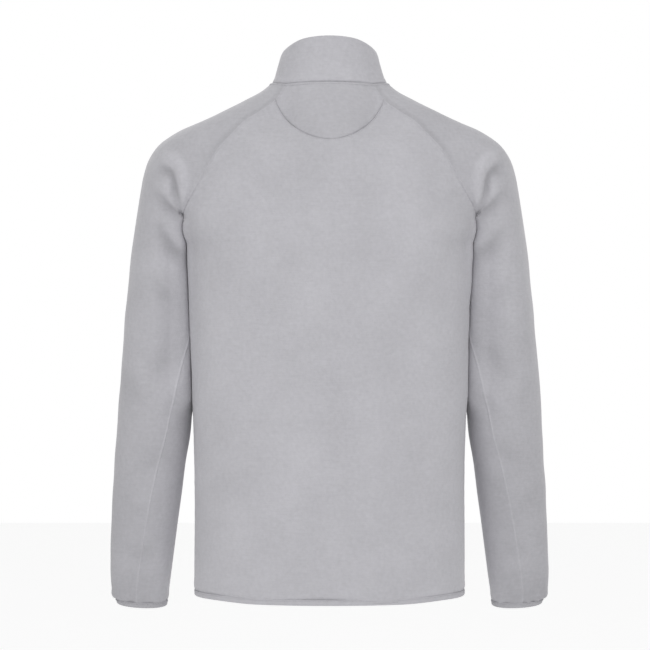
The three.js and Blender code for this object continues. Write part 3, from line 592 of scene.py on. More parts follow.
def cap_surface(along, u):
    """The left sleeve over the shoulder: at each place along, two cubics run from the shoulder
    line (u 0) down to the front (-1) and back (1) raglan seams."""
    outer = SHOULDER(along)
    halves = {}
    for side, column in (("back", 3), ("front", 4)):
        inner = RAGLAN[side](along)
        gap_x, gap_z = outer[..., 0] - inner[..., 0], outer[..., 2] - inner[..., 2]
        lead, reach = np.radians(inner[..., 3]), inner[..., 4]
        out = reach * np.cos(lead) / np.hypot(gap_x, gap_z)
        sign, t = SIGN[side], np.abs(u)
        x = cubic(outer[..., 0], outer[..., 0], inner[..., 0] + gap_x * out, inner[..., 0], t)
        y = cubic(
            outer[..., 1],
            outer[..., 1] + sign * outer[..., column],
            inner[..., 1] + sign * reach * np.sin(lead),
            inner[..., 1],
            t,
        )
        z = cubic(outer[..., 2], outer[..., 2], inner[..., 2] + gap_z * out, inner[..., 2], t)
        halves[side] = np.stack([x, y, z], -1)
    return np.where((u >= 0)[..., None], halves["back"], halves["front"])


def arm_surface(drop, u):
    """The left sleeve below the underarm: at each drop a closed oval of two cubics, tilted
    towards the body and leaning towards the back."""
    x_out, x_in, y_out, y_in, tilt, back, front, lean = np.moveaxis(LOWER_SLEEVE(drop), -1, 0)
    reach = np.where(u >= 0, back, -front) * 4 / 3
    t = np.abs(u)
    z = SHOULDER(1.0)[2] - drop
    x = cubic(x_out, x_out, x_in, x_in, t)
    y = cubic(y_out, y_out + reach, y_in + reach, y_in, t)
    return np.stack([x, y, cubic(z, z, z - tilt, z - tilt, t) + lean * (y - y_out)], -1)


def collar_surface(base, share):
    """The collar over the neck seam's points: each point moves towards its place on the oval
    rim, which slopes down to the front, and bows out a little at half height."""
    x, y = base[..., 0], base[..., 1]
    from_front = np.pi - np.arctan2(x / NECK_HALF_WIDTH, (y - NECK_Y) / NECK_DEPTH)
    near_zip = 1 - ease(from_front, 0, np.pi / 3)
    angle = np.pi - from_front * (1 + (NECK_HALF_WIDTH / RIM_HALF_WIDTH - 1) * near_zip)
    swing = np.where(angle < np.pi / 2, RIM_BACK, RIM_FRONT) * np.cos(angle)
    rim_z = RIM_BACK_Z - RIM_SLOPE * RIM_BACK + RIM_SLOPE * swing
    rim = np.stack([RIM_HALF_WIDTH * np.sin(angle), NECK_Y + swing, rim_z], -1)
    bow = COLLAR_BOW * 4 * share * (1 - share) * (1 - near_zip)
    out = np.stack([np.sin(angle), np.cos(angle), 0 * angle], -1)
    return base + (rim - base) * share[..., None] + out * bow[..., None]


# The arm hangs against the side of the body: how far apart their cloths lie there, which gaps
# close and which stay, the heights and places along the raglan seam over which this fades, and
# how much lower the arm's inner side lies in its oval
ARM_REST = 0.15
GAP_FADE = (11, 34)
REST_HEIGHTS = (-428, -392)
REST_ALONG = (0.76, 0.86)
INNER_TILT = 7.0

# Where the two cloths part, the body's moves back and the arm's forward: how far, the gaps over
# which this comes and goes, and how far below the neck it starts
LIP = 2.2
LIP_COMES = (8, 16)
LIP_GOES = (28, 60)
LIP_BELOW = (185, 225)

# The body's share of the way that closes the gap, by height; the sleeve goes the rest
BODY_PART = smooth_table([
    [-428, 0.1], [-320, 0.12], [-260, 0.24], [-224, 0.32], [-205, 0.38], [-188, 0.44],
    [-170, 0.42], [-150, 0.05],
])


def side_profile(z):
    """The body's side at each height below the underarm, as rows of points with y rising."""
    up, t = ((z - HEM_Z) / BODY_HEIGHT)[:, None], np.linspace(0.45, 1, 60)[None]
    front, back = body_surface("front", up, t), body_surface("back", up, t)
    return np.concatenate([front, back[:, -2::-1]], axis=1)


def arm_profile(z):
    """The left arm's inner side at each height, as rows of points with y rising."""
    drop = np.maximum(SHOULDER(1.0)[2] - z - INNER_TILT, 0)[:, None]
    t = np.linspace(0.5, 1, 60)
    return arm_surface(drop, np.concatenate([-t, t[-2::-1]])[None])


def nestle(own, other, sign, toward, amount):
    """The rows of one cloth moved sideways to those of its neighbour, by its part of the gap
    that lies between them at the same depth: all of it where the gap is narrow, and none where
    it is wide. Where the cloths part, it also moves back or forward by the lip. Sign turns the
    depths so that they rise along the neighbour's rows."""
    keys = np.maximum.accumulate(sign * other[..., 1], axis=1)
    rows = zip(sign * own[..., 1], keys, other[..., 0])
    gap = toward * (np.stack([np.interp(*row) for row in rows]) - own[..., 0])
    close = amount[:, None] * (1 - ease(gap, *GAP_FADE))
    part = BODY_PART(own[..., 2])[..., 0]
    part = part if toward > 0 else 1 - part
    moved = own.copy()
    moved[..., 0] += toward * close * part * np.maximum(gap - ARM_REST, 0)
    parting = ease(gap, *LIP_COMES) * (1 - ease(gap, *LIP_GOES)) * amount[:, None]
    parting *= ease(-own[..., 2], *LIP_BELOW)
    moved[..., 1] += toward * LIP * parting
    return moved


def rest_arms(back, front, cap, arm):
    """The left halves of the back and front and the left sleeve's cap and arm, with the arm at
    rest against the side of the body. Rows above the underarm meet on the raglan seam, and rows
    below it lie at the same height."""
    side_rows, half = len(SIDE_UP), len(ARM_FRONT)
    low_amount = ease(back[:side_rows, -1, 2], *REST_HEIGHTS)
    amount = ease(ALONG, *REST_ALONG)
    above_back, above_front = back[: side_rows - 1 : -1], front[: side_rows - 1 : -1]
    beside_back, beside_front = cap[YOKE_COUNT:, half - 1 :], cap[:, :half]
    profile = arm_profile(back[:side_rows, -1, 2])
    new_back = np.concatenate([
        nestle(back[:side_rows], profile, 1, 1, low_amount),
        nestle(above_back, beside_back[:, ::-1], 1, 1, amount[YOKE_COUNT:])[::-1],
    ])
    new_front = np.concatenate([
        nestle(front[:side_rows], profile, 1, 1, low_amount),
        nestle(above_front, beside_front, -1, 1, amount)[::-1],
    ])
    new_cap = cap.copy()
    new_cap[:, :half] = nestle(beside_front, above_front, -1, -1, amount)
    new_cap[YOKE_COUNT:, half:] = nestle(
        beside_back, above_back[:, ::-1], 1, -1, amount[YOKE_COUNT:]
    )[:, 1:]
    inner = arm[:, -1, 2]
    new_arm = nestle(
        arm, side_profile(np.maximum(inner, HEM_Z)), 1, -1, ease(inner, *REST_HEIGHTS)
    )
    return new_back, new_front, new_cap, new_arm


def both_halves(half):
    """Whole rows, from the wearer's right to the left, out of left halves that start at the
    centre."""
    return np.concatenate([half[:, :0:-1] * MIRROR, half], axis=1)


def whole_loop(half):
    """Whole rows round the back, out of left halves that start at the centre of the back."""
    return np.concatenate([half[:, ::-1] * MIRROR, half[:, 1:]], axis=1)


# The corners of a quad that faces the other way
TURNED = [0, 3, 2, 1]


def steps(points):
    """At each row of points, the way from the row before it to the row after it."""
    return np.concatenate([
        points[1:2] - points[:1], points[2:] - points[:-2], points[-1:] - points[-2:-1]
    ])


def grid_quads(ids):
    """The four-sided faces of a grid of point numbers."""
    return np.stack([ids[:-1, :-1], ids[:-1, 1:], ids[1:, 1:], ids[1:, :-1]], -1).reshape(-1, 4)


class Sheet:
    """A piece of cloth as a grid of points on its outer face, with its directions out of the
    cloth. Rows from closed_from on are rings: their last column is their first."""

    def __init__(self, points, closed_from=None):
        self.points = points
        self.closed_from = closed_from
        up, across = steps(points), steps(points.swapaxes(0, 1)).swapaxes(0, 1)
        if closed_from is not None:
            wrap = points[closed_from:, 1] - points[closed_from:, -2]
            across[closed_from:, 0] = wrap
            across[closed_from:, -1] = wrap
        self.normals = unit(np.cross(up, across))

    def faces(self):
        """The grid's quads, facing out, and closed where the rows are rings."""
        rows, columns = self.points.shape[:2]
        ids = np.arange(rows * columns).reshape(rows, columns)
        if self.closed_from is not None:
            ids[self.closed_from :, -1] = ids[self.closed_from :, 0]
        return grid_quads(ids)[:, TURNED]


def sew(one, other):
    """Two cut edges share the average of their directions. Both arrays change in place."""
    both = unit(one + other)
    one[...] = both
    other[...] = both


@functools.lru_cache(maxsize=1)
def pattern():
    """Every cloth piece's plain sheet, without its folds, sewn to its neighbours. Only the left
    one of a pair is made."""
    up = np.concatenate([SIDE_UP, 2 - ALONG[::-1]])[:, None]
    back_up = up[: len(up) - YOKE_COUNT]
    back_half = body_surface("back", back_up, HALF_BACK[None])
    yoke_up = (1 - ALONG[YOKE_COUNT::-1] / YOKE_START)[:, None]
    yoke = Sheet(both_halves(yoke_surface(yoke_up, HALF_BACK[None])))
    front_half = front_rows(up)
    u = ARM_COLUMNS[None]
    seam = np.concatenate([
        SEAM_COLUMN + (SEAM_START - SEAM_COLUMN) * ease(ALONG, 0.45, 1), SLEEVE_SEAM(DROPS)[:, 0]
    ])[:, None]
    below = u * seam / SEAM_COLUMN
    above = 1 - (1 - u) * (1 - seam) / (1 - SEAM_COLUMN)
    turned = np.where(u <= 0, u, np.where(u < SEAM_COLUMN, below, above))
    cap = cap_surface(ALONG[:, None], turned[: len(ALONG)])
    arm = arm_surface(DROPS[:, None], turned[len(ALONG) :])
    back_half, front_half, cap, arm = rest_arms(back_half, front_half, cap, arm)
    back, front = Sheet(both_halves(back_half)), Sheet(front_half)
    sleeve = Sheet(np.concatenate([cap, arm]), closed_from=len(ALONG) - 1)
    middle = len(HALF_BACK) - 1
    neck = np.concatenate([
        yoke.points[-1, middle:], sleeve.points[0, ::-1][1:], front.points[-1, 1:]
    ])
    half = collar_surface(neck[None], COLLAR_SHARE[:, None] + 0 * neck[None, :, 0])
    collar = Sheet(whole_loop(half))

    # The directions of cut edges that are sewn together
    side_rows = len(SIDE_UP)
    rows = len(ALONG)
    sew(back.normals[:side_rows, -1], front.normals[:side_rows, 0])
    turn = ease(ALONG, 0.75, 0.95)
    sleeve.normals[:rows, -1, 2] -= 2 * turn
    sleeve.normals[:rows, 0, 2] -= 2 * turn
    sew(sleeve.normals[: YOKE_COUNT + 1, -1], yoke.normals[::-1, -1])
    sew(sleeve.normals[YOKE_COUNT:rows, -1], back.normals[: side_rows - 1 : -1, -1])
    sew(sleeve.normals[:rows, 0], front.normals[: side_rows - 1 : -1, 0])
    for piece, at in ((back, -1), (front, 0)):
        piece.normals[side_rows, at] = (0, 0, -1)
    sleeve.normals[rows - 1, (0, -1)] = (0, 0, -1)
    sew(back.normals[-1], yoke.normals[0])
    count = len(neck)
    foot = collar.normals[0, count - 1 :]
    a, b = yoke.points.shape[1] - middle, sleeve.points.shape[1]
    sew(foot[:a], yoke.normals[-1, middle:])
    sew(foot[a : a + b - 1], sleeve.normals[0, -2::-1])
    sew(foot[a + b - 1 :], front.normals[-1, 1:])
    sleeve.normals[0, -1] = foot[a - 1]
    front.normals[-1, 0] = foot[a + b - 2]
    for piece in (back, yoke, collar):
        piece.normals[:, : piece.normals.shape[1] // 2] = (
            piece.normals[:, : piece.normals.shape[1] // 2 : -1] * MIRROR
        )
    return {"back": back, "yoke": yoke, "front": front, "sleeve": sleeve, "collar": collar}


# Relief


def from_edge(points, axis, end):
    """How far each point lies from one edge of its grid, along its row (axis 1) or column (0)."""
    step = np.linalg.norm(np.diff(points, axis=axis), axis=-1)
    zero = np.zeros_like(np.take(step, [0], axis=axis))
    if end:
        total = np.concatenate([zero, np.cumsum(np.flip(step, axis), axis=axis)], axis=axis)
        return np.flip(total, axis)
    return np.concatenate([zero, np.cumsum(step, axis=axis)], axis=axis)


def from_ends(points):
    """How far each point lies from the nearer end of its row."""
    return np.minimum(from_edge(points, 1, True), from_edge(points, 1, False))


def swell(points, wavelength, seed, squeeze=(1, 1, 1)):
    """Soft unevenness between about -1 and 1: the sum of twelve plane waves of about one
    wavelength, in directions and phases drawn from a fixed seed."""
    rng = np.random.default_rng(seed)
    direction = unit(rng.normal(size=(12, 3))) * np.array(squeeze)
    pace = 2 * np.pi / (wavelength * rng.uniform(0.75, 1.35, 12))
    phase = rng.uniform(0, 2 * np.pi, 12)
    return np.sin(points @ (direction * pace[:, None]).T + phase).sum(-1) / 12**0.5 / 1.2


# A fold that sinks, in its own half widths: its steep side under the cloth that hangs over it, its
# slow side, and the swelling beyond, whose height is a share of the fold's depth
FOLD_STEEP = 0.7
FOLD_SLOW = 1.8
SWELLING_AT = 2.4
SWELLING_WIDTH = 1.5
SWELLING_HEIGHT = 0.55


def fold_curve(stops):
    """A fold's stops as 33 points on a smooth curve through them."""
    rows = np.array(stops, float)
    return smooth_table(np.column_stack([np.arange(len(rows)), rows]))(
        np.linspace(0, len(rows) - 1, 33)
    )


def fold_relief(points, folds):
    """How deep folds press each point, seen from the back or front: each fold presses with its
    depth where a point lies on it, falling off as a bell over its half width. A fold that sinks
    is steep on the side that hangs over it, with a swelling beyond, and runs out slowly on the
    other."""
    depth = np.zeros(points.shape[:-1])
    for stops in folds:
        curve = fold_curve(stops)
        reach = 3 * curve[:, 3].max()
        low, high = curve[:, :2].min(0) - reach, curve[:, :2].max(0) + reach
        near = np.all((points[..., (0, 2)] > low) & (points[..., (0, 2)] < high), -1)
        place = points[near][:, None, (0, 2)]
        if not len(place):
            continue
        a, b = curve[:-1], curve[1:]
        line = b[:, :2] - a[:, :2]
        f = np.clip(((place - a[:, :2]) * line).sum(-1) / (line**2).sum(-1), 0, 1)
        away = np.linalg.norm(place - a[:, :2] - f[..., None] * line, axis=-1)
        nearest = away.argmin(1)[:, None]
        f = np.take_along_axis(f, nearest, 1)[:, 0]
        away = np.take_along_axis(away, nearest, 1)[:, 0]
        i = nearest[:, 0]
        deep = curve[i, 2] + f * (curve[i + 1, 2] - curve[i, 2])
        wide = curve[i, 3] + f * (curve[i + 1, 3] - curve[i, 3])
        if curve[:, 2].min() < -0.1:
            depth[near] += deep * bell(away, 0, wide)
            continue
        beside = (place[:, 0] - a[i, :2])[..., ::-1] * line[i] * (-1, 1)
        over = np.sign(beside.sum(-1)) * away
        steep = np.where(over > 0, FOLD_STEEP, FOLD_SLOW) * wide
        swelling = SWELLING_HEIGHT * bell(over, SWELLING_AT * wide, SWELLING_WIDTH * wide)
        depth[near] += deep * (bell(over, 0, steep) - swelling)
    return depth


def sewn_edge(distance, deep=0.6, puff=0.35, puff_at=5.0):
    """How far a sewn edge sinks: deepest on the seam line, then a soft puff beside it."""
    return deep * bell(distance, 0, 1.1) - puff * bell(distance, puff_at, 3.2)


def pucker(points, distance, seed):
    """The small uneven pulls of a sewn edge, which die out within a centimetre."""
    near = bell(distance, 0, 6) * (1 - bell(distance, 0, 1.5))
    return 0.28 * swell(points, 9, seed) * near


def zip_stitched(distance):
    """How far the two rows of stitches beside the zip pull in the turned front edge."""
    first, second = ZIP_ROWS
    return 0.35 * bell(distance, first, 0.7) + 0.4 * bell(distance, second, 0.8)


def side_sewn(points, edge):
    """How the body's outer edge sinks: as the side seam up to the underarm, where it fades, and
    as the raglan seam above."""
    underarm = 1 - ease(np.abs(points[..., 2] - UNDERARM_Z), 4, 30)
    side = sewn_edge(edge, *SIDE_SEWN) * (1 - underarm)
    return np.where(points[..., 2] > UNDERARM_Z, sewn_edge(edge, *RAGLAN_SEWN), side)


def press(sheet, depth, straight=0.0):
    """The sheet's points pressed into the cloth by a depth, and straight to the front by
    another, which suits folds that are laid out as seen from behind."""
    points = sheet.points - sheet.normals * depth[..., None]
    points[..., 1] -= straight
    return points


# Mesh making


def add_object(name, points, faces, material, attributes=None, uv=None, sharp=None):
    """A mesh object from points in millimetres and arrays of faces, smooth shaded."""
    groups = faces if isinstance(faces, list) else [faces]
    groups = [np.asarray(group, np.int32) for group in groups if len(group)]
    corners = np.concatenate([group.ravel() for group in groups])
    used, corners = np.unique(corners, return_inverse=True)
    corners = corners.astype(np.int32).ravel()
    sizes = np.concatenate([np.full(len(group), group.shape[1]) for group in groups])
    starts = np.concatenate([[0], np.cumsum(sizes)[:-1]]).astype(np.int32)
    mesh = bpy.data.meshes.new(name)
    mesh.vertices.add(len(used))
    mesh.vertices.foreach_set("co", (points[used] * MM).astype(np.float32).ravel())
    mesh.loops.add(len(corners))
    mesh.polygons.add(len(sizes))
    mesh.polygons.foreach_set("loop_start", starts)
    mesh.loops.foreach_set("vertex_index", corners)
    for key, values in (attributes or {}).items():
        attribute = mesh.attributes.new(key, "FLOAT", "POINT")
        attribute.data.foreach_set("value", values[used].astype(np.float32))
    if uv is not None:
        layer = mesh.uv_layers.new(name="UVMap")
        layer.data.foreach_set("uv", (uv[used][corners] * MM).astype(np.float32).ravel())
    mesh.update(calc_edges=True)
    if mesh.validate():
        raise RuntimeError(f"{name}: its faces aren't sound")
    mesh.shade_smooth()
    if sharp is not None:
        mesh.set_sharp_from_angle(angle=math.radians(sharp))
    mesh.materials.append(material)
    obj = bpy.data.objects.new(name, mesh)
    bpy.context.scene.collection.objects.link(obj)
    return obj


RIM_RINGS = 4


def shell(points, normals, faces, thickness, bulge):
    """A wall on a sheet: the outer face, the same face one thickness inwards, and round every
    free edge a half round of bulge that joins them. Returns points, faces and the number of the
    sheet's point that each came from."""
    flat, normals = points.reshape(-1, 3), normals.reshape(-1, 3)
    count = len(flat)
    edges = np.stack([faces, np.roll(faces, -1, axis=1)], -1).reshape(-1, 2).astype(np.int64)
    there, back = edges[:, 0] * count + edges[:, 1], edges[:, 1] * count + edges[:, 0]
    free = edges[~np.isin(there, back)]
    step = flat[free[:, 1]] - flat[free[:, 0]]
    outward = unit(np.cross(step, normals[free[:, 0]] + normals[free[:, 1]]))
    out = np.zeros_like(flat)
    np.add.at(out, free[:, 0], outward)
    np.add.at(out, free[:, 1], outward)
    rim = np.unique(free)
    place = np.zeros(count, np.int64)
    place[rim] = np.arange(len(rim))
    bulge = np.broadcast_to(bulge, points.shape[:-1]).reshape(-1, 1)
    layers, source = [flat, flat - thickness * normals], [np.arange(count), np.arange(count)]
    for k in range(1, RIM_RINGS):
        angle = np.pi * k / RIM_RINGS
        inward = thickness * (1 - np.cos(angle)) / 2
        ring = flat - inward * normals + unit(out) * bulge * np.sin(angle)
        layers.append(ring[rim])
        source.append(rim)

    def level(ids, k):
        if k in (0, RIM_RINGS):
            return ids + (count if k else 0)
        return 2 * count + (k - 1) * len(rim) + place[ids]

    a, b = free[:, 0], free[:, 1]
    rims = [
        np.stack([level(b, k), level(a, k), level(a, k + 1), level(b, k + 1)], -1)
        for k in range(RIM_RINGS)
    ]
    all_faces = np.concatenate([faces, faces[:, ::-1] + count, *rims])
    return np.concatenate(layers), all_faces, np.concatenate(source)


def cloth_piece(name, sheet, points, seam, node, right=False, bulge=0.0,
                thickness=None, nap=0.0):
    """A cloth piece on its pressed sheet. Its material is given the distance to the nearest deep
    seam, along which it paints shade, and the nap share, by which it paints shade or light over the
    piece. The right one of a pair is the left one's mirror image."""
    thickness = thickness or bpy.context.scene.jacket_cloth.thickness / MM
    flat, faces, source = shell(points, sheet.normals, sheet.faces(), thickness, bulge)
    if right:
        flat = flat * MIRROR
        faces = faces[:, ::-1]
    nap = np.broadcast_to(nap, seam.shape)
    attributes = {"seam": seam.ravel()[source], "nap": nap.ravel()[source]}
    obj = add_object(name, flat, faces, fleece(), attributes=attributes)
    trim_piece(obj, node)


SURFACES = {}


def keep(name, sheet, points):
    """The pressed sheet of a piece, kept for the stitches that lie on it."""
    SURFACES[name] = (points, sheet)
    return points


# Materials


def add_node(tree, kind, values=None, links=None, **settings):
    """A node with its settings, socket values and links from other sockets."""
    node = tree.nodes.new(kind)
    for key, value in settings.items():
        setattr(node, key, value)
    for key, value in (values or {}).items():
        node.inputs[key].default_value = value
    for key, socket in (links or {}).items():
        tree.links.new(socket, node.inputs[key])
    return node


def new_material(name, values):
    """A material with its Principled shader, whose constants are set on its own sockets."""
    material = bpy.data.materials.new(name)
    material.use_nodes = True
    tree = material.node_tree
    tree.nodes.clear()
    shader = add_node(tree, "ShaderNodeBsdfPrincipled", values=values)
    add_node(tree, "ShaderNodeOutputMaterial", links={"Surface": shader.outputs[0]})
    return material, tree, shader


def tone(tree, colour, low, high, share):
    """The colour, from low to high times its brightness as the share goes from 0 to 1."""
    dark = (*(c * low for c in colour), 1)
    light = (*(c * high for c in colour), 1)
    return add_node(
        tree, "ShaderNodeMix", data_type="RGBA", values={6: dark, 7: light}, links={0: share}
    ).outputs[2]


def dimmed(tree, base, share):
    """The colour times a share."""
    return add_node(
        tree, "ShaderNodeMix", data_type="RGBA", blend_type="MULTIPLY",
        values={0: 1.0}, links={6: base, 7: share},
    ).outputs[2]


def spread(tree, value, start, end, low=0.0, high=1.0, clamp=True):
    """What goes from low to high as the value goes from start to end."""
    return add_node(
        tree, "ShaderNodeMapRange", clamp=clamp,
        values={"From Min": start, "From Max": end, "To Min": low, "To Max": high},
        links={"Value": value},
    ).outputs[0]


def weighed(tree, first, weight, second):
    """The first value times its weight, plus the second."""
    return add_node(
        tree, "ShaderNodeMath", operation="MULTIPLY_ADD", values={1: weight},
        links={0: first, 2: second},
    ).outputs[0]


def noise(tree, place, size, detail=2.0, roughness=0.5):
    """Soft noise whose patches have a size in metres."""
    return add_node(
        tree, "ShaderNodeTexNoise",
        values={"Scale": 1 / size, "Detail": detail, "Roughness": roughness},
        links={"Vector": place},
    ).outputs["Fac"]


def roughened(tree, height, strength, distance, **under):
    """The directions of a surface that a pattern roughens by a height in metres."""
    return add_node(
        tree, "ShaderNodeBump", values={"Strength": strength, "Distance": distance},
        links={"Height": height, **under},
    ).outputs[0]


def own_place(tree):
    """The place in the object's own coordinates."""
    return add_node(tree, "ShaderNodeTexCoord").outputs["Object"]


def painted_nap_shade(tree, base):
    """The colour dimmed by the nap share: painted shade where the share is above nought, and
    painted light where it is below.
    """
    shade_share = add_node(tree, "ShaderNodeAttribute", attribute_name="nap").outputs["Fac"]
    return dimmed(tree, base, spread(tree, shade_share, 0.0, 1.0, 1.0, 0.84, clamp=False))


@functools.lru_cache(maxsize=None)
def fleece():
    """Short-nap polyester micro fleece: weft-knitted, brushed up and sheared. The eye gets a
    matt face that brightens a little where it turns away, tufts of about a millimetre, a faint
    grain across the piece from the knitted courses, and clouds of slightly lighter nap."""
    settings = bpy.context.scene.jacket_cloth
    material, tree, shader = new_material("Brushed_micro_fleece", {
        "Roughness": 0.95,
        "Specular IOR Level": 0.18,
        "Sheen Weight": 0.3,
        "Sheen Roughness": 0.55,
    })
    place = own_place(tree)
    tufts = noise(tree, place, settings.nap, 3.0, 0.6)
    # Knitted courses are about 0.7 mm apart and lie across the piece, drawn out 10 times. They
    # are drawn at 1.6 mm, twice as coarse as the real ones, so that they show in the picture
    across = add_node(
        tree, "ShaderNodeMapping", values={"Scale": (0.1, 0.1, 1.0)}, links={"Vector": place}
    ).outputs[0]
    courses = noise(tree, across, 0.0016, 2.0, 0.6)
    # Clumps where the brushed nap holds together, about 5 mm across
    clumps = noise(tree, place, 0.005)
    # Clouds where the nap lies another way, about 70 mm across
    clouds = noise(tree, place, 0.07)
    fine = weighed(tree, tufts, 1.0, courses)
    soft = weighed(tree, clumps, 1.0, clouds)
    # Noise keeps near one half, so this sum keeps near 1.6
    mixed = weighed(tree, fine, 0.6, soft)
    base = tone(tree, settings.colour, 0.915, 1.085, spread(tree, mixed, 1.15, 2.05))
    # The nap is pressed flat and lies in its own shade along a seam line
    seam = add_node(tree, "ShaderNodeAttribute", attribute_name="seam").outputs["Fac"]
    shaded = dimmed(tree, base, spread(tree, seam, 0.0, 1.6, 0.86, 1.0))
    tree.links.new(painted_nap_shade(tree, shaded), shader.inputs["Base Color"])
    coarse = roughened(tree, clumps, 0.35, 0.0006)
    tree.links.new(roughened(tree, fine, 0.5, 0.00035, Normal=coarse), shader.inputs["Normal"])
    return material


# A wave texture of scale 1 repeats every 0.314 m
WAVE_SCALE = 0.314


def thread_waves(tree, place, direction, pitch, distortion):
    """Threads side by side at a pitch in metres, as waves that waver a little."""
    return add_node(
        tree, "ShaderNodeTexWave", wave_type="BANDS", bands_direction=direction,
        values={"Scale": WAVE_SCALE / pitch, "Distortion": distortion, "Detail": 1.0},
        links={"Vector": place},
    ).outputs["Fac"]


def ribbed(name, colour, pitch, cross_pitch, roughness, sheen, low, high, distance):
    """A knitted or woven band on its own UV map: ribs across it at a pitch along it, crossed by
    threads at a pitch of their own, with soft unevenness of tone from low to high."""
    material, tree, shader = new_material(name, {
        "Roughness": roughness,
        "Specular IOR Level": 0.3,
        "Sheen Weight": sheen,
        "Sheen Roughness": 0.5,
    })
    place = add_node(tree, "ShaderNodeTexCoord")
    ribs = thread_waves(tree, place.outputs["UV"], "X", pitch, 0.4)
    crossing = thread_waves(tree, place.outputs["UV"], "Y", cross_pitch, 0.6)
    patches = noise(tree, place.outputs["Object"], 0.008, 3.0)
    woven = add_node(
        tree, "ShaderNodeMath", operation="MULTIPLY", links={0: ribs, 1: crossing}
    ).outputs[0]
    base = tone(tree, colour, low, high, weighed(tree, woven, 0.5, patches))
    tree.links.new(painted_nap_shade(tree, base), shader.inputs["Base Color"])
    tree.links.new(roughened(tree, woven, 0.6, distance), shader.inputs["Normal"])
    return material


@functools.lru_cache(maxsize=None)
def binding():
    """Knitted elastane binding, folded over the raw edge: smooth and slightly shinier than the
    fleece, with upright ribs about 0.9 mm apart."""
    return ribbed(
        "Knitted_elastic_binding", bpy.context.scene.jacket_trim.binding_colour, pitch=0.0009,
        cross_pitch=0.0009, roughness=0.82, sheen=0.12, low=0.86, high=1.04, distance=0.00012,
    )


@functools.lru_cache(maxsize=None)
def overlock():
    """Overlocked raw edges: looped textured polyester thread about 1.2 mm apart over the fleece,
    which reads as a soft ladder."""
    return ribbed(
        "Overlocked_edge", bpy.context.scene.jacket_cloth.allowance_colour, pitch=0.0012,
        cross_pitch=0.006, roughness=0.9, sheen=0.1, low=0.82, high=1.05, distance=0.00025,
    )


@functools.lru_cache(maxsize=None)
def tape():
    """Woven polyester zip tape: a tight, dull twill of threads about 0.5 mm apart."""
    return ribbed(
        "Woven_zip_tape", bpy.context.scene.jacket_zip.tape_colour, pitch=0.0005,
        cross_pitch=0.0005, roughness=0.75, sheen=0.08, low=0.85, high=1.04, distance=0.0001,
    )


@functools.lru_cache(maxsize=None)
def thread():
    """Spun polyester sewing thread: fine, slightly glossy, twisted, and a little uneven in tone
    from stitch to stitch."""
    return ribbed(
        "Polyester_thread", bpy.context.scene.jacket_trim.thread_colour, pitch=0.00035,
        cross_pitch=0.0012, roughness=0.6, sheen=0.15, low=0.88, high=1.06, distance=0.00006,
    )


@functools.lru_cache(maxsize=None)
def teeth():
    """Injection-moulded acetal teeth: satin, with faint mould texture and slightly worn, paler
    tops."""
    settings = bpy.context.scene.jacket_zip
    material, tree, shader = new_material("Moulded_acetal_teeth", {
        "Roughness": 0.38,
        "IOR": 1.48,
    })
    grain = noise(tree, own_place(tree), 0.0006, 3.0)
    wear = add_node(tree, "ShaderNodeNewGeometry").outputs["Pointiness"]
    mixed = weighed(tree, grain, 0.4, spread(tree, wear, 0.45, 0.58))
    base = tone(tree, settings.teeth_colour, 0.9, 1.06, mixed)
    tree.links.new(base, shader.inputs["Base Color"])
    tree.links.new(roughened(tree, grain, 0.25, 0.00005), shader.inputs["Normal"])
    return material


@functools.lru_cache(maxsize=None)
def metal():
    """Die-cast zinc alloy, barrel-tumbled and matt plated: a soft grey satin with a fine grain
    and slightly brighter rubbed spots."""
    settings = bpy.context.scene.jacket_zip
    material, tree, shader = new_material("Satin_plated_zinc", {"Metallic": 1.0})
    place = own_place(tree)
    grain = noise(tree, place, 0.0005, 4.0)
    patches = noise(tree, place, 0.006)
    base = tone(tree, settings.metal_colour, 0.9, 1.08, patches)
    tree.links.new(base, shader.inputs["Base Color"])
    rough = spread(tree, patches, 0.3, 0.7, 0.28, 0.42)
    tree.links.new(rough, shader.inputs["Roughness"])
    tree.links.new(roughened(tree, grain, 0.15, 0.00004), shader.inputs["Normal"])
    return material


@functools.lru_cache(maxsize=None)
def paper():
    """Seamless studio paper: matt, pale and faintly mottled, lit through from below."""
    settings = bpy.context.scene.jacket_studio
    material, tree, shader = new_material("Seamless_paper", {
        "Roughness": 0.9,
        "Emission Color": (1, 1, 1, 1),
    })
    # The paper looks lit through, and throws little of that light on the jacket
    seen = add_node(tree, "ShaderNodeLightPath").outputs["Is Camera Ray"]
    glow = spread(tree, seen, 0.0, 1.0, 0.12, 0.45)
    tree.links.new(glow, shader.inputs["Emission Strength"])
    mottle = noise(tree, own_place(tree), 0.4, 3.0)
    base = tone(tree, settings.floor_colour, 0.985, 1.0, mottle)
    tree.links.new(base, shader.inputs["Base Color"])
    return material


# Pieces


def hem_relief(height):
    """How a binding squeezes the cloth under it, and how the cloth puffs out above."""
    squeezed = 0.75 * (1 - ease(height, 6.8, 11.5))
    return squeezed - 0.5 * bell(height, 15, 5)


def lift_hem(points):
    """The body's points, with the hem riding up a little towards the side seams."""
    sideways = ease(np.abs(points[..., 0]), 95, 165)
    points[..., 2] += HEM_LIFT * sideways * (1 - ease(points[..., 2] - HEM_Z, 10, 90))
    return points


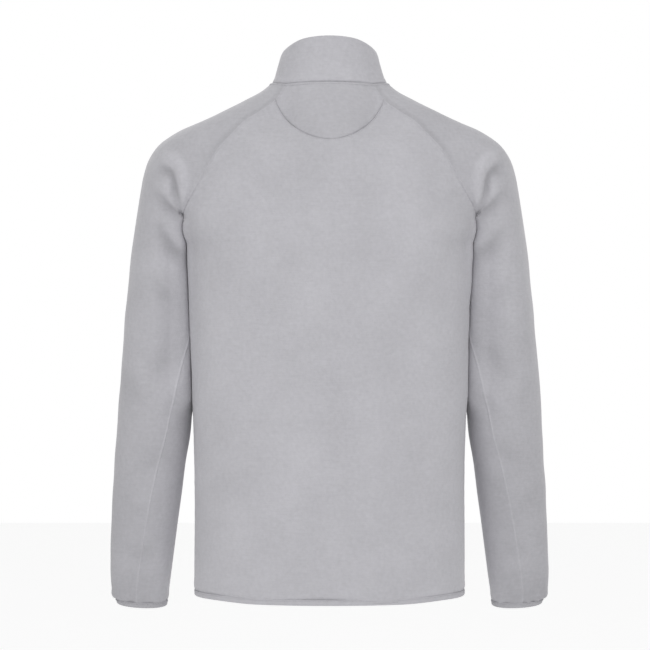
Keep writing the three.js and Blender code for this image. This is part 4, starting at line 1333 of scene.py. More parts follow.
class JACKET_OT_back(Operator):
    """Cuts the back body, with its soft folds and sewn edges"""

    bl_idname = "jacket.back"
    bl_label = "Back"

    def execute(self, context):
        sheet = pattern()["back"]
        points = sheet.points
        seams = context.scene.jacket_cloth.seams
        edge = from_ends(points)
        arc = from_edge(points, 0, True)
        height = HEM_TUCK + from_edge(points, 0, False)
        inward = np.minimum(ease(edge, 0, SIDE_CALM), ease(arc, 0, NECK_CALM))
        relief = fold_relief(points, BODY_FOLDS["back"]) * context.scene.jacket_cloth.folds
        relief += 0.9 * swell(points, 130, 3) + 0.3 * swell(points, 48, 4)
        sewn = side_sewn(points, edge) + sewn_edge(arc, 0.6, 0.2, 4)
        depth = relief * inward + sewn * seams
        depth += pucker(points, edge, 11) + pucker(points, arc, 12) + hem_relief(height)
        pressed = keep("back", sheet, lift_hem(press(sheet, depth)))
        # Painted shade: the back's colour is dimmed very slightly by its nap share
        cloth_piece("back_cloth", sheet, pressed, arc, "back", nap=0.1)
        return {"FINISHED"}


class JACKET_OT_yoke(Operator):
    """Cuts the half-moon yoke under the collar"""

    bl_idname = "jacket.yoke"
    bl_label = "Yoke"

    def execute(self, context):
        sheet = pattern()["yoke"]
        points = sheet.points
        seams = context.scene.jacket_cloth.seams
        edge = from_ends(points)
        arc, neck = from_edge(points, 0, False), from_edge(points, 0, True)
        inward = ease(np.minimum(np.minimum(edge, arc), neck), 0, NECK_CALM)
        relief = 0.7 * swell(points, 90, 5) + 0.25 * swell(points, 34, 6)
        raglan = sewn_edge(edge, *RAGLAN_SEWN) * seams * ease(neck, 0, SEAM_END)
        depth = relief * inward + raglan
        depth += (sewn_edge(arc, 0.6, 0.25, 4) + neck_ridge(neck)) * seams
        depth += pucker(points, edge, 13) + pucker(points, arc, 14) + pucker(points, neck, 15)
        pressed = keep("yoke", sheet, press(sheet, depth))
        seam = np.minimum(arc, neck)
        # Painted shade: the yoke's colour is dimmed a little by its nap share
        cloth_piece("yoke_cloth", sheet, pressed, seam, "yoke", nap=0.35)
        return {"FINISHED"}


def neck_ridge(distance):
    """The neck seam on the body side: a deep seam line, the sewn-down allowance as a narrow
    ridge, and the stitched line beside it."""
    line = 0.75 * bell(distance, 0, 1.0)
    ridge = -0.9 * bell(distance, 2.4, 1.3)
    return line + ridge + 0.6 * bell(distance, 4.8, 1.0)


class JACKET_OT_fronts(Operator):
    """Cuts the two fronts, which meet at the zip"""

    bl_idname = "jacket.fronts"
    bl_label = "Fronts"

    def execute(self, context):
        sheet = pattern()["front"]
        points = sheet.points
        cloth = context.scene.jacket_cloth
        edge, zip_edge = from_edge(points, 1, False), from_edge(points, 1, True)
        neck = from_edge(points, 0, True)
        height = HEM_TUCK + from_edge(points, 0, False)
        for side, seed in (("left", 20), ("right", 30)):
            true = points * HANDS[side]
            inward = ease(edge, 0, SIDE_CALM) * ease(zip_edge, 6, 26) * ease(neck, 0, NECK_CALM)
            relief = fold_relief(true, BODY_FOLDS["front"]) * cloth.folds
            relief += 0.9 * swell(true, 120, seed) + 0.35 * swell(true, 46, seed + 1)
            depth = relief * inward + side_sewn(points, edge) * cloth.seams
            depth += neck_ridge(neck) * cloth.seams * ease(zip_edge, 0, 3)
            depth += zip_stitched(zip_edge) + hem_relief(height)
            depth += pucker(true, edge, seed + 2) + pucker(true, np.abs(zip_edge - 6), seed + 3)
            pressed = keep(f"front_{side}", sheet, lift_hem(press(sheet, depth)))
            bulge = np.where(zip_edge < 0.05, 1.0, 0.0)
            cloth_piece(
                f"front_cloth_{side}", sheet, pressed, neck, f"front_{side}",
                right=side == "right", bulge=bulge,
            )
        return {"FINISHED"}


class JACKET_OT_sleeves(Operator):
    """Cuts the two raglan sleeves, with the folds that the armholes crush into them"""

    bl_idname = "jacket.sleeves"
    bl_label = "Sleeves"

    def execute(self, context):
        sheet = pattern()["sleeve"]
        points, normals = sheet.points, sheet.normals
        cloth = context.scene.jacket_cloth
        rows = len(ALONG)
        # The raglan seam ends at the underarm, and the rows below it are far from it
        raglan = from_ends(points)
        raglan[rows:] = 3 * SIDE_CALM
        neck = from_edge(points, 0, False)
        cuff = from_edge(points, 0, True) + CUFF_TUCK
        # How far each point lies from the sleeve's own seam, row by row
        arm = np.linalg.norm(points - points[:, SEAM_AT : SEAM_AT + 1], axis=-1)
        along = np.concatenate([ALONG, 1 + DROPS / ARM_UNIT])[:, None]
        neck_calm, cuff_calm = ease(neck, 0, SLEEVE_NECK_CALM), ease(cuff, *CUFF_CALM)
        started = ease(along, 1.04, 1.12)
        is_back = (ARM_COLUMNS >= 0)[None]
        for side, seed in (("left", 40), ("right", 50)):
            true = points * HANDS[side]
            straight = np.zeros(points.shape[:2])
            for face, sign in (("back", 1), ("front", -1)):
                facing = ease(normals[..., 1] * sign, 0.02, 0.4)
                mask = (is_back if sign > 0 else ~is_back) * facing
                straight += sign * fold_relief(points, SLEEVE_FOLDS[side][face]) * mask
            straight *= cloth.folds * ease(raglan, 0, 9) * neck_calm * cuff_calm
            uneven = 0.8 * swell(true, 100, seed) + 0.35 * swell(true, 40, seed + 1)
            inner = ease(points[..., 0] - points[..., -1:, 0], 1, 22)
            depth = uneven * ease(raglan, 0, SIDE_CALM) * inner * neck_calm * cuff_calm
            top = 1 - ease(np.abs(ARM_COLUMNS), 0.1, 0.6)[None]
            depth *= np.where(along < 1.1, 1 - top, 1)
            # The shoulder line sags a little between the neck and the arm
            depth += 1.8 * top * bell(along, 0.3, 0.17)
            over = 1 - ease(along, 0.82, 0.97)
            sewn = sewn_edge(raglan, 0.3, -0.5, 4.5) * over * cloth.seams
            depth += sewn * ease(neck, 0, SEAM_END)
            depth += neck_ridge(neck) * cloth.seams
            # The sleeve's own seam stands up as a narrow welt
            welt = bell(arm, 0, 1.2) * started
            depth -= 0.7 * welt * cloth.seams
            depth += hem_relief(cuff)
            # The elastic at the cuff gathers the cloth over it
            depth += 0.9 * (swell(true, 12, seed + 5, (1, 1, 0.12)) * bell(cuff, 8, 16))
            # On the outer side it blouses over the elastic
            outer = ease(normals[..., 0], 0.2, 0.9) * ease(cuff, 6.9, 10.5)
            depth -= 3.0 * bell(cuff, 12.5, 7) * outer
            depth += pucker(true, raglan, seed + 2) * over + pucker(true, arm, seed + 3) * started
            pressed = keep(f"sleeve_{side}", sheet, press(sheet, depth, straight))
            # Painted shade: the sleeve is dimmed more than the body, a little less towards the
            # underarm, and more down the forearm and towards the cuff, with a painted highlight
            # along its own seam's welt
            nap = 0.5 - 0.1 * ease(along, 0.3, 1) + 0.5 * ease(along, 1.2, 1.9) - 0.5 * welt
            nap += 0.35 * (1 - ease(cuff, 8, 70))
            # Painted shade in a crease, by its depth, and a painted highlight on a swelling
            nap += 0.27 * np.clip(straight * np.where(is_back, 1, -1), -2.5, 7)
            # Painted shade beside the upper part of the raglan seam, and a painted highlight on its
            # line further down
            lower = ease(along, 0.4, 0.6)
            beside = bell(raglan, 4, 4) * ease(neck, 0, 10)
            nap += 0.5 * beside * (1 - lower) - 0.5 * bell(raglan, 0, 2.5) * lower
            # Painted light on the forearm's inner side, where the body shades it
            nap -= 0.45 * ease(along, 1.4, 1.6) * ease(ARM_COLUMNS, 0.72, 0.88)[None]
            cloth_piece(
                f"sleeve_cloth_{side}", sheet, pressed, neck, f"sleeve_{side}",
                right=side == "right", nap=nap,
            )
        return {"FINISHED"}


class JACKET_OT_collar(Operator):
    """Cuts the stand-up collar, with its rounded top edge"""

    bl_idname = "jacket.collar"
    bl_label = "Collar"

    def execute(self, context):
        sheet = pattern()["collar"]
        points = sheet.points
        seams = context.scene.jacket_cloth.seams
        foot, rim = from_edge(points, 0, False), from_edge(points, 0, True)
        edge = from_ends(points)
        inward = ease(foot, 0, NECK_CALM) * ease(edge, 4, 24)
        relief = 0.8 * swell(points, 85, 7) + 0.3 * swell(points, 34, 8)
        # The turned top edge is a little thicker than the stand under it
        turned = -0.35 * bell(rim, 4, 5) * ease(edge, 6, 20)
        depth = relief * inward * ease(rim, -8, 14) + turned + zip_stitched(edge)
        # The stand draws in a little over the shoulders and flares into them
        share = foot / (foot + rim)
        depth += 3.2 * np.sin(np.pi * share**0.6) * sheet.normals[..., 0] ** 2
        depth += sewn_edge(foot, 0.75, 0.35, 4.5) * seams * ease(edge, 0, 3)
        depth += pucker(points, foot, 16)
        pressed = press(sheet, depth)
        # The rim dips a little where it turns over the shoulders
        pressed[..., 2] -= 3.0 * share**2 * ease(np.abs(sheet.normals[..., 0]), 0.5, 0.95)
        pressed = keep("collar", sheet, pressed)
        bulge = np.where(foot > 4, 1.15, 0.0)
        cloth_piece(
            "collar_cloth", sheet, pressed, foot, "collar", bulge=bulge, thickness=2.5,
        )
        return {"FINISHED"}


# Bands, cords of thread and strips that follow a path


def tangents(path):
    """The direction of travel at each point of a path."""
    return unit(steps(path))


def run_of(path):
    """How far each point of a path lies from its start, along the path."""
    return np.concatenate([[0], np.cumsum(np.linalg.norm(np.diff(path, axis=0), axis=1))])


def path_at(path, normals, at):
    """Where a path and its directions are at the given runs from its start."""
    run = run_of(path)
    even = np.stack([np.interp(at, run, path[:, k]) for k in range(3)], -1)
    facing = unit(np.stack([np.interp(at, run, normals[:, k]) for k in range(3)], -1))
    return even, facing


def resample(path, normals, spacing):
    """A path and its directions in the middles of even steps of about the given spacing, and
    the runs of those places."""
    whole = run_of(path)[-1]
    count = max(int(round(whole / spacing)), 2)
    at = (np.arange(count) + 0.5) * whole / count
    return *path_at(path, normals, at), at


def dense(path, normals, spacing, count=None):
    """A path and its directions at even steps that keep both ends."""
    whole = run_of(path)[-1]
    at = np.linspace(0, whole, count or int(round(whole / spacing)) + 1)
    return path_at(path, normals, at)


def band(name, path, normals, ups, section, material, ripple, pitch, closed=False, nap=0.0):
    """A band along a path: its section is a loop of (out, up) pairs laid on the directions at each
    point, and its outer half ripples by a sine of its run along the path. An open band is closed at
    its ends by fans. Nap is the share of painted shade that dims the face."""
    run = run_of(path)
    wave = np.sin(2 * np.pi * run / pitch + 1.5 * swell(path, 30, 77))
    wave *= 0.7 + 0.3 * swell(path, 60, 78)
    outer = section[:, 0] > section[:, 0].mean()
    out = section[None, :, 0] + ripple * wave[:, None] * outer[None]
    up = np.broadcast_to(section[None, :, 1], out.shape)
    points = path[:, None] + normals[:, None] * out[..., None] + ups[:, None] * up[..., None]
    rows, columns = out.shape
    ids = np.arange(rows * columns).reshape(rows, columns)
    ring = np.concatenate([ids, ids[:, :1]], axis=1)
    if closed:
        ring[-1] = ring[0]
    quads = grid_quads(ring)
    flat = points.reshape(-1, 3)
    fans = np.zeros((0, 3), int)
    uv = np.stack(np.broadcast_arrays(run[:, None], run_of(section)[None]), -1).reshape(-1, 2)
    if not closed:
        middle = np.stack([points[0].mean(0), points[-1].mean(0)])
        flat = np.concatenate([flat, middle])
        uv = np.concatenate([uv, uv[:1], uv[-1:]])
        first, last = len(flat) - 2, len(flat) - 1
        start = np.stack([ring[0, 1:], ring[0, :-1], np.full(columns, first)], -1)
        end = np.stack([ring[-1, :-1], ring[-1, 1:], np.full(columns, last)], -1)
        fans = np.concatenate([start, end])
    return add_object(
        name, flat, outward([quads, fans], flat), material,
        attributes={"nap": np.full(len(flat), nap)}, uv=uv,
    )


def outward(groups, points):
    """The faces of a closed piece, turned round if they enclose a negative volume."""
    volume = 0.0
    for group in groups:
        if not len(group):
            continue
        a = points[group[:, 0]]
        for k in range(1, group.shape[1] - 1):
            volume += (a * np.cross(points[group[:, k]], points[group[:, k + 1]])).sum()
    return groups if volume > 0 else [group[:, ::-1] for group in groups]


def rounded_section(out_low, out_high, up_low, up_high, count=20, square=0.5):
    """A rounded box as a loop of (out, up) pairs: a circle whose sine and cosine are raised to
    a power below one."""
    angle = np.linspace(0, 2 * np.pi, count, endpoint=False)
    across = np.sign(np.cos(angle)) * np.abs(np.cos(angle)) ** square
    along = np.sign(np.sin(angle)) * np.abs(np.sin(angle)) ** square
    out = (out_low + out_high) / 2 + (out_high - out_low) / 2 * across
    up = (up_low + up_high) / 2 + (up_high - up_low) / 2 * along
    return np.stack([out, up], -1)


def folded_section(inner, outer, bottom, top, thickness):
    """Fold-over tape as a loop of (out, up) pairs: up one leg, round the fold and down the other
    on the outer side of a U, and back along its inner side, with a rounded end on each leg."""
    half = (outer - inner) / 2
    fold = np.linspace(0, np.pi, 9)
    bend = np.column_stack([
        (inner + outer) / 2 + half * np.cos(fold), bottom + half * (1 - np.sin(fold))
    ])
    leg = np.linspace(top, bottom + half, 6)[:-1]
    line = np.concatenate([
        np.column_stack([0 * leg + outer, leg]),
        bend,
        np.column_stack([0 * leg + inner, leg])[::-1],
    ])
    step = unit(np.gradient(line, axis=0))
    side = np.column_stack([-step[:, 1], step[:, 0]]) * thickness / 2
    tip = np.array([[0.0, thickness * 0.35]])
    return np.concatenate([line + side, line[-1:] + tip, (line - side)[::-1], line[:1] + tip])


def trim_piece(obj, *nodes, slot="fleece"):
    """The piece rides with the jacket and hides the CAD parts it stands for; its slot is not used.
    """
    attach(obj, JACKET)
    if nodes:
        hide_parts(*nodes)
    return obj


@functools.lru_cache(maxsize=1)
def hem_line():
    """The hem and the upper edge of its binding, from front edge to front edge, with their
    directions out of the cloth."""
    up = np.array([[0.0], [BINDING_HEIGHT / BODY_HEIGHT]])
    back = body_surface("back", up, HALF_BACK[None])
    sheet = Sheet(whole_loop(np.concatenate([back, front_rows(up)[:, 1:]], axis=1)))
    return lift_hem(sheet.points), sheet.normals


@functools.lru_cache(maxsize=1)
def cuff_line():
    """The left cuff's lower edge and the upper edge of its binding, as rings, with their
    directions out of the cloth."""
    drop = np.array([[SLEEVE_DROP + BINDING_HEIGHT], [SLEEVE_DROP]])
    ring = arm_surface(drop, np.linspace(-1, 1, 145)[None])
    sheet = Sheet(ring[::-1], closed_from=0)
    return ring, sheet.normals[::-1]


class JACKET_OT_bindings(Operator):
    """Folds the elastic binding over the hem and the cuffs"""

    bl_idname = "jacket.bindings"
    bl_label = "Bindings"

    def execute(self, context):
        trim = context.scene.jacket_trim
        ripple, pitch = trim.gathers / MM, trim.gather_pitch / MM
        section = folded_section(-3.4, -0.1, 0.2, 7.2, 0.9)
        (low, high), normals = hem_line()
        path, facing = dense(low, normals[0], 1.2)
        top, _ = dense(high, normals[0], 1.2, len(path))
        ups = unit(top - path)
        hem = band("hem_band", path, facing, ups, section, binding(), ripple, pitch)
        trim_piece(hem, "hem_binding", slot="binding")
        (low, high), normals = cuff_line()
        section = section - (0.2, 0)
        for side, mirror in HANDS.items():
            path, facing = dense(low * mirror, normals[0] * mirror, 1.1)
            top, _ = dense(high * mirror, normals[0] * mirror, 1.1, len(path))
            path[-1], facing[-1], top[-1] = path[0], facing[0], top[0]
            ups = unit(top - path)
            # Painted shade: the cuff bindings are dimmed fully by their nap share, as the forearms
            # are
            cuff = band(
                f"cuff_band_{side}", path, facing, ups, section, binding(),
                ripple * CUFF_GATHERS, pitch, closed=True, nap=1.0,
            )
            trim_piece(cuff, f"cuff_binding_{side}", slot="binding")
        return {"FINISHED"}


# Zip


def zip_sheet(places, xs):
    """Strips of the closed front from the hem (place 0) to the neck (2) and the collar's top
    (3), at distances x from the centre line."""
    places, xs = np.asarray(places, float)[:, None], np.asarray(xs, float)[None]
    up = np.minimum(places, 2) + 0 * xs
    base = body_surface("front", up, front_share(up, np.abs(xs) + 0 * up))
    raised = collar_surface(base, np.maximum(places - 2, 0) + 0 * xs)
    points = np.where((places > 2)[..., None], raised, base)
    points[..., 0] *= np.where(xs < 0, -1, 1)
    return Sheet(points)


@functools.lru_cache(maxsize=1)
def zip_places():
    """The places where the chain starts, over the stop box, and ends, in the slider."""
    foot, top = zip_sheet([2, 3], [0, 1]).points[:, 0]
    height = np.linalg.norm(top - foot)
    start = STOP_BOX_HEIGHT / BODY_HEIGHT
    return start, 3 - (SLIDER_BELOW_RIM - CHAIN_ABOVE_SLIDER) / height


class JACKET_OT_zip_tapes(Operator):
    """Weaves the two zip tapes behind the front edges"""

    bl_idname = "jacket.zip_tapes"
    bl_label = "Zip tapes"

    def execute(self, context):
        places = np.concatenate([
            np.linspace(0, 1, 60)[:-1], np.linspace(1, 2, 50), np.linspace(2, 3, 12)[1:]
        ])
        xs = [TAPE_OUTER_X, 13, 9, FRONT_EDGE_X, 5, 3.4, 2.6, 1.9, TAPE_INNER_X]
        sheet = zip_sheet(places, xs)
        # The edge that holds the teeth is woven thicker, round a cord
        cord = 0.35 * bell(np.array(xs), 2.2, 1.1)
        points = sheet.points - sheet.normals * (TAPE_DEPTH - cord)[None, :, None]
        run = from_edge(points, 0, False)
        across = from_edge(points, 1, False)
        for side in HANDS:
            flat, faces, source = shell(
                points, sheet.normals, sheet.faces(), TAPE_THICKNESS, TAPE_THICKNESS / 2
            )
            if side == "right":
                flat, faces = flat * MIRROR, faces[:, ::-1]
            uv = np.stack([run.ravel()[source], across.ravel()[source]], -1)
            obj = add_object(f"tape_{side}", flat, faces, tape(), uv=uv)
            trim_piece(obj, f"zip_tape_{side}", slot="zip_tape")
        return {"FINISHED"}


def tooth_shape():
    """One moulded tooth for the tape on the +x side, as rings of (x, up, out) from the back to
    the front: a bar that grips the tape, a waist and a rounded head past the centre line."""
    outline = np.array([
        [3.1, -0.75], [1.6, -0.72], [0.7, -0.45], [-0.1, -0.78], [-0.85, -0.55], [-0.95, 0],
        [-0.85, 0.55], [-0.1, 0.78], [0.7, 0.45], [1.6, 0.72], [3.1, 0.75],
    ])
    rings = []
    for out, shrink in ((-2.25, 0.82), (-2.0, 1.0), (-0.35, 1.0), (0.05, 0.78)):
        centre = outline.mean(0)
        ring = centre + (outline - centre) * np.array([0.5 + 0.5 * shrink, shrink])
        rings.append(np.column_stack([ring, np.full(len(ring), out)]))
    return np.concatenate(rings), len(outline), len(rings)


class JACKET_OT_zip_teeth(Operator):
    """Moulds the interlocked teeth of the closed zip"""

    bl_idname = "jacket.zip_teeth"
    bl_label = "Zip teeth"

    def execute(self, context):
        pitch = context.scene.jacket_zip.tooth_pitch / MM
        start, end = zip_places()
        places = np.concatenate([
            np.linspace(start, 1, 80)[:-1], np.linspace(1, 2, 70), np.linspace(2, end, 20)[1:]
        ])
        sheet = zip_sheet(places, [0.8, 0, -0.8])
        path, facing = sheet.points[:, 1], sheet.normals[:, 1]
        shape, around, rings = tooth_shape()
        ids = np.arange(around * rings).reshape(rings, around)
        ring = np.concatenate([ids, ids[:, :1]], axis=1)
        sides = grid_quads(ring)
        cap = np.arange(around)
        caps = [cap[None, ::-1], (cap + (rings - 1) * around)[None]]
        all_points, all_sides, all_caps = [], [], []
        for hand in (1, -1):
            centres, out, _ = resample(path, facing, pitch)
            if hand < 0:
                centres, out = (centres[1:] + centres[:-1]) / 2, unit(out[1:] + out[:-1])
            up = tangents(centres)
            across = unit(np.cross(up, out))
            across *= np.sign(across[:, :1]) * hand
            frame3 = np.stack([across, up, out], 1)
            points = centres[:, None] + shape[None] @ frame3
            offset = sum(len(p) for p in all_points)
            base = (np.arange(len(centres)) * len(shape) + offset)[:, None, None]
            flip = slice(None, None, -1) if hand < 0 else slice(None)
            all_points.append(points.reshape(-1, 3))
            all_sides.append((sides[None] + base)[..., flip].reshape(-1, 4))
            for one in caps:
                all_caps.append((one[None] + base)[..., flip].reshape(-1, around))
        points = np.concatenate(all_points)
        groups = outward([np.concatenate(all_sides), np.concatenate(all_caps)], points)
        obj = add_object("zip_teeth", points, groups, teeth(), sharp=40)
        trim_piece(obj, "zip_chain", slot="zip_teeth")
        return {"FINISHED"}


class JACKET_OT_zip_metal(Operator):
    """Plates the slider, the pull tab and the stop box"""

    bl_idname = "jacket.zip_metal"
    bl_label = "Slider, pull tab and stop box"

    def execute(self, context):
        for name in ("zip_slider", "pull_tab", "zip_stop_box"):
            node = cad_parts[name]
            if not node.material_slots:
                node.data.materials.append(None)
            for slot in node.material_slots:
                slot.material = metal()
        return {"FINISHED"}


# Sewing


def line_on(name, axis, end, distance, keep_from=0, keep_to=None):
    """A line on a piece at a fixed distance from one of its edges, with its directions out of
    the cloth. The sheet of a right piece is kept as its mirror image."""
    points, sheet = SURFACES[name]
    away = from_edge(sheet.points, axis, end)
    points, normals = np.moveaxis(points, axis, 1), np.moveaxis(sheet.normals, axis, 1)
    away = np.moveaxis(away, axis, 1)
    if end:
        points, normals, away = points[:, ::-1], normals[:, ::-1], away[:, ::-1]
    k = np.clip((away < distance).sum(1), 1, away.shape[1] - 1)
    row = np.arange(len(points))
    f = ((distance - away[row, k - 1]) / (away[row, k] - away[row, k - 1]))[:, None]
    path = points[row, k - 1] + f * (points[row, k] - points[row, k - 1])
    facing = unit(normals[row, k - 1] + f * (normals[row, k] - normals[row, k - 1]))
    path, facing = path[keep_from:keep_to], facing[keep_from:keep_to]
    mirror = HANDS["right" if name.endswith("right") else "left"]
    return path * mirror, facing * mirror


def binding_row(line, mirror):
    """The row of stitches that holds a binding, near its upper edge."""
    (low, high), normals = line
    lifted = low + (high - low) * 0.8 + normals[0] * 0.5
    return dense(lifted * mirror, normals[0] * mirror, 1.5)


def stitch_row(lines, pitch, thickness):
    """Points and faces of rows of stitches: each stitch is a short bar of four sides whose two
    ends dive into the cloth, and whose middle stands half its thickness over it."""
    stations = np.linspace(-0.5, 0.5, 6)
    around = np.radians([45, 135, 225, 315])
    girth = np.array([0.35, 0.85, 1, 1, 0.85, 0.35])
    all_points, all_uv, count = [], [], 0
    for path, facing in lines:
        centres, out, at = resample(path, facing, pitch)
        travel = tangents(centres)
        across = unit(np.cross(out, travel))
        size = 0.5 * thickness
        lift = size * (0.6 - 3.2 * (2 * stations) ** 4)
        along = stations * pitch * 0.86
        ring_out = lift[:, None] + size * girth[:, None] * np.sin(around)
        ring_across = size * 1.25 * girth[:, None] * np.cos(around)
        points = (
            centres[:, None, None]
            + travel[:, None, None] * along[None, :, None, None]
            + out[:, None, None] * ring_out[None, ..., None]
            + across[:, None, None] * ring_across[None, ..., None]
        )
        all_points.append(points.reshape(-1, 3))
        u = (at[:, None, None] + along[None, :, None]) + 0 * around
        v = np.broadcast_to(np.arange(len(around)) * thickness, u.shape)
        all_uv.append(np.stack([u, v], -1).reshape(-1, 2))
        count += len(centres)
    ids = np.arange(stations.size * around.size).reshape(stations.size, around.size)
    ring = np.concatenate([ids, ids[:, :1]], axis=1)
    sides = grid_quads(ring)[:, TURNED]
    quads = np.concatenate([sides, ids[:1], ids[-1:, ::-1]])
    faces = (quads[None] + (np.arange(count) * ids.size)[:, None, None]).reshape(-1, 4)
    points = np.concatenate(all_points)
    return points, outward([faces], points)[0], np.concatenate(all_uv)


class JACKET_OT_stitching(Operator):
    """Sews the rows of stitches along the seams, the bindings and the zip"""

    bl_idname = "jacket.stitching"
    bl_label = "Stitching"

    def execute(self, context):
        trim = context.scene.jacket_trim
        pitch, thick = trim.stitch_pitch / MM, trim.thread / MM
        neck = [line_on("yoke", 0, True, NECK_ROW)]
        neck += [line_on(f"sleeve_{side}", 0, False, NECK_ROW) for side in HANDS]
        neck += [line_on(f"front_{side}", 0, True, NECK_ROW) for side in HANDS]
        first, last = len(SIDE_UP) + RAGLAN_SKIP, -RAGLAN_SKIP
        raglan = [line_on("back", 1, end, SEAM_ROW, keep_from=first) for end in (True, False)]
        raglan += [line_on("yoke", 1, end, SEAM_ROW, keep_to=last) for end in (True, False)]
        raglan += [
            line_on(f"front_{side}", 1, False, SEAM_ROW, keep_from=first, keep_to=last)
            for side in HANDS
        ]
        arc = [line_on("back", 0, True, SEAM_ROW)]
        edges = [
            line_on(f"front_{side}", 1, True, distance, keep_to=-ZIP_SKIP)
            for side in HANDS
            for distance in ZIP_ROWS
        ]
        collar = [
            line_on("collar", 1, end, distance, keep_from=ZIP_SKIP)
            for end in (True, False)
            for distance in ZIP_ROWS
        ]
        bound = [binding_row(hem_line(), 1)]
        bound += [binding_row(cuff_line(), mirror) for mirror in HANDS.values()]
        for name, lines in (
            ("stitches_neck", neck),
            ("stitches_raglan", raglan),
            ("stitches_yoke", arc),
            ("stitches_zip", edges + collar),
            ("stitches_bindings", bound),
        ):
            points, faces, uv = stitch_row(lines, pitch, thick)
            obj = add_object(name, points, faces, thread(), uv=uv)
            trim_piece(obj, slot="binding" if name == "stitches_bindings" else "fleece")
        return {"FINISHED"}


class JACKET_OT_seam_allowances(Operator):
    """Lays the overlocked seam allowances flat along the inside of every seam"""

    bl_idname = "jacket.seam_allowances"
    bl_label = "Seam allowances"

    def execute(self, context):
        half = context.scene.jacket_cloth.allowance / MM / 2
        depth = context.scene.jacket_cloth.thickness / MM
        pieces = pattern()
        back, yoke = pieces["back"], pieces["yoke"]
        sleeve, collar = pieces["sleeve"], pieces["collar"]
        side_rows = len(SIDE_UP)
        rows = len(ALONG)
        arm = slice(rows + 4, None)
        lines = {
            "raglan_back": (sleeve.points[:rows, -1], sleeve.normals[:rows, -1], True),
            "raglan_front": (sleeve.points[:rows, 0], sleeve.normals[:rows, 0], True),
            "side": (back.points[: side_rows + 1, -1], back.normals[: side_rows + 1, -1], True),
            "sleeve": (sleeve.points[arm, SEAM_AT], sleeve.normals[arm, SEAM_AT], True),
            "yoke": (yoke.points[0], yoke.normals[0], False),
            "neck": (collar.points[0], collar.normals[0], False),
        }
        section = rounded_section(-depth - 1.5, -depth + 0.5, -half, half, count=14, square=0.6)
        for name, (path, normals, paired) in lines.items():
            path, normals = dense(path, normals, 2.4)
            across = unit(np.cross(tangents(path), normals))
            for side, mirror in (HANDS if paired else {"middle": 1}).items():
                obj = band(
                    f"allowance_{name}_{side}", path * mirror, normals * mirror, across * mirror,
                    section, overlock(), ripple=0.15, pitch=5.0,
                )
                trim_piece(obj)
        return {"FINISHED"}


# Studio

MIDDLE = (0, 0, -0.3)
FLOOR_HALF = 12
SOFT_LIGHT = 0.55
BACKDROP = 1.0

# Square soft lights: name, place, size and power
LIGHTS = (
    ("key_back", (-0.7, 3.2, 1.7), 2.2, 40),
    ("fill_back", (1.9, 2.6, -0.1), 2.2, 9),
    ("key_front", (0.9, -3.2, 1.7), 2.2, 40),
    ("fill_front", (-1.9, -2.6, -0.1), 2.2, 9),
    ("top", (0, 0, 2.6), 2.4, 9),
)


def softbox(name, place, size, energy):
    """A square area light that looks at the jacket's middle."""
    light = bpy.data.lights.new(name, "AREA")
    light.shape = "SQUARE"
    light.size = size
    light.energy = energy
    obj = bpy.data.objects.new(name, light)
    aim(obj, place, MIDDLE)
    bpy.context.scene.collection.objects.link(obj)


def aim(obj, place, target):
    """Puts a camera or light at a place, looking at a target, with its top up."""
    obj.location = place
    obj.rotation_mode = "XYZ"
    obj.rotation_euler = (Vector(target) - Vector(place)).to_track_quat("-Z", "Y").to_euler()


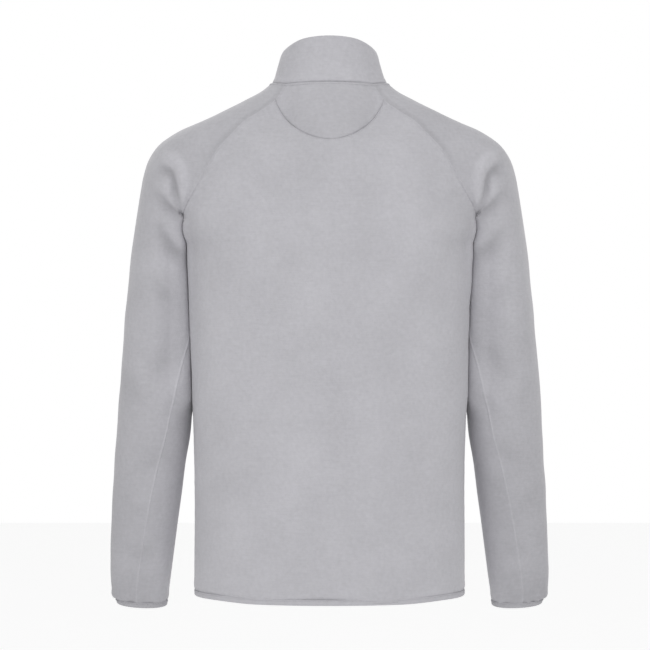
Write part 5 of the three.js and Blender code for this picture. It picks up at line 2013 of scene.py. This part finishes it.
class JACKET_OT_studio(Operator):
    """Sets up the camera of the photograph, the soft lights and the pale floor"""

    bl_idname = "jacket.studio"
    bl_label = "Studio"

    def execute(self, context):
        scene = context.scene
        settings = scene.jacket_studio
        camera = bpy.data.cameras.new("camera")
        camera.sensor_fit = "HORIZONTAL"
        camera.sensor_width = 36
        camera.lens = settings.focal
        camera.clip_end = 50
        stand = bpy.data.objects.new("camera", camera)
        place = (settings.side, settings.distance, settings.height)
        aim(stand, place, (settings.side, 0, settings.height))
        scene.collection.objects.link(stand)
        scene.camera = stand

        across = np.linspace(-FLOOR_HALF, FLOOR_HALF, 9)
        u, v = np.meshgrid(across, across)
        drop = np.full(u.shape, -settings.floor_drop)
        floor_sheet = Sheet(np.stack([v, u, drop], -1) / MM)
        points = floor_sheet.points.reshape(-1, 3)
        faces = floor_sheet.faces()
        if floor_sheet.normals[0, 0, 2] < 0:
            faces = faces[:, ::-1]
        floor = add_object("studio_floor", points, faces, paper())

        for light in LIGHTS:
            softbox(*light)

        world = bpy.data.worlds.new("studio")
        world.use_nodes = True
        tree = world.node_tree
        tree.nodes.clear()
        seen = add_node(tree, "ShaderNodeLightPath").outputs["Is Camera Ray"]
        around, backdrop = (
            add_node(
                tree, "ShaderNodeBackground", values={"Color": (1, 1, 1, 1), "Strength": strength}
            ).outputs[0]
            for strength in (SOFT_LIGHT, BACKDROP)
        )
        mixed = add_node(
            tree, "ShaderNodeMixShader", links={0: seen, 1: around, 2: backdrop}
        ).outputs[0]
        add_node(tree, "ShaderNodeOutputWorld", links={"Surface": mixed})
        scene.world = world
        scene.view_settings.view_transform = "Standard"
        scene.view_settings.look = "None"
        return {"FINISHED"}


OPERATORS = (
    JACKET_OT_back,
    JACKET_OT_yoke,
    JACKET_OT_fronts,
    JACKET_OT_sleeves,
    JACKET_OT_collar,
    JACKET_OT_bindings,
    JACKET_OT_zip_tapes,
    JACKET_OT_zip_teeth,
    JACKET_OT_zip_metal,
    JACKET_OT_seam_allowances,
    JACKET_OT_stitching,
    JACKET_OT_studio,
)


class JACKET_PT_sidebar(Panel):
    """The jacket's sizes, colours and pieces"""

    bl_idname = "JACKET_PT_sidebar"
    bl_label = "Fleece jacket"
    bl_space_type = "VIEW_3D"
    bl_region_type = "UI"
    bl_category = "Jacket"

    def draw(self, context):
        for key, title in SETTINGS.items():
            group = getattr(context.scene, key)
            box = self.layout.box()
            box.label(text=title[1])
            for name in group.__annotations__:
                box.prop(group, name)
        for operator in OPERATORS:
            self.layout.operator(operator.bl_idname)


SETTINGS = {
    "jacket_cloth": (ClothSettings, "Cloth"),
    "jacket_trim": (TrimSettings, "Trim"),
    "jacket_zip": (ZipSettings, "Zip"),
    "jacket_studio": (StudioSettings, "Studio"),
}
CLASSES = (ClothSettings, TrimSettings, ZipSettings, StudioSettings, *OPERATORS, JACKET_PT_sidebar)


def register():
    """Adds the settings, the operators and the panel."""
    for one in CLASSES:
        bpy.utils.register_class(one)
    for key, (group, _) in SETTINGS.items():
        setattr(bpy.types.Scene, key, PointerProperty(type=group))


def unregister():
    """Takes them away again."""
    for key in SETTINGS:
        delattr(bpy.types.Scene, key)
    for one in reversed(CLASSES):
        bpy.utils.unregister_class(one)


def main():
    register()
    for operator in OPERATORS:
        group, name = operator.bl_idname.split(".")
        getattr(getattr(bpy.ops, group), name)()


if __name__ == "__main__":
    main()
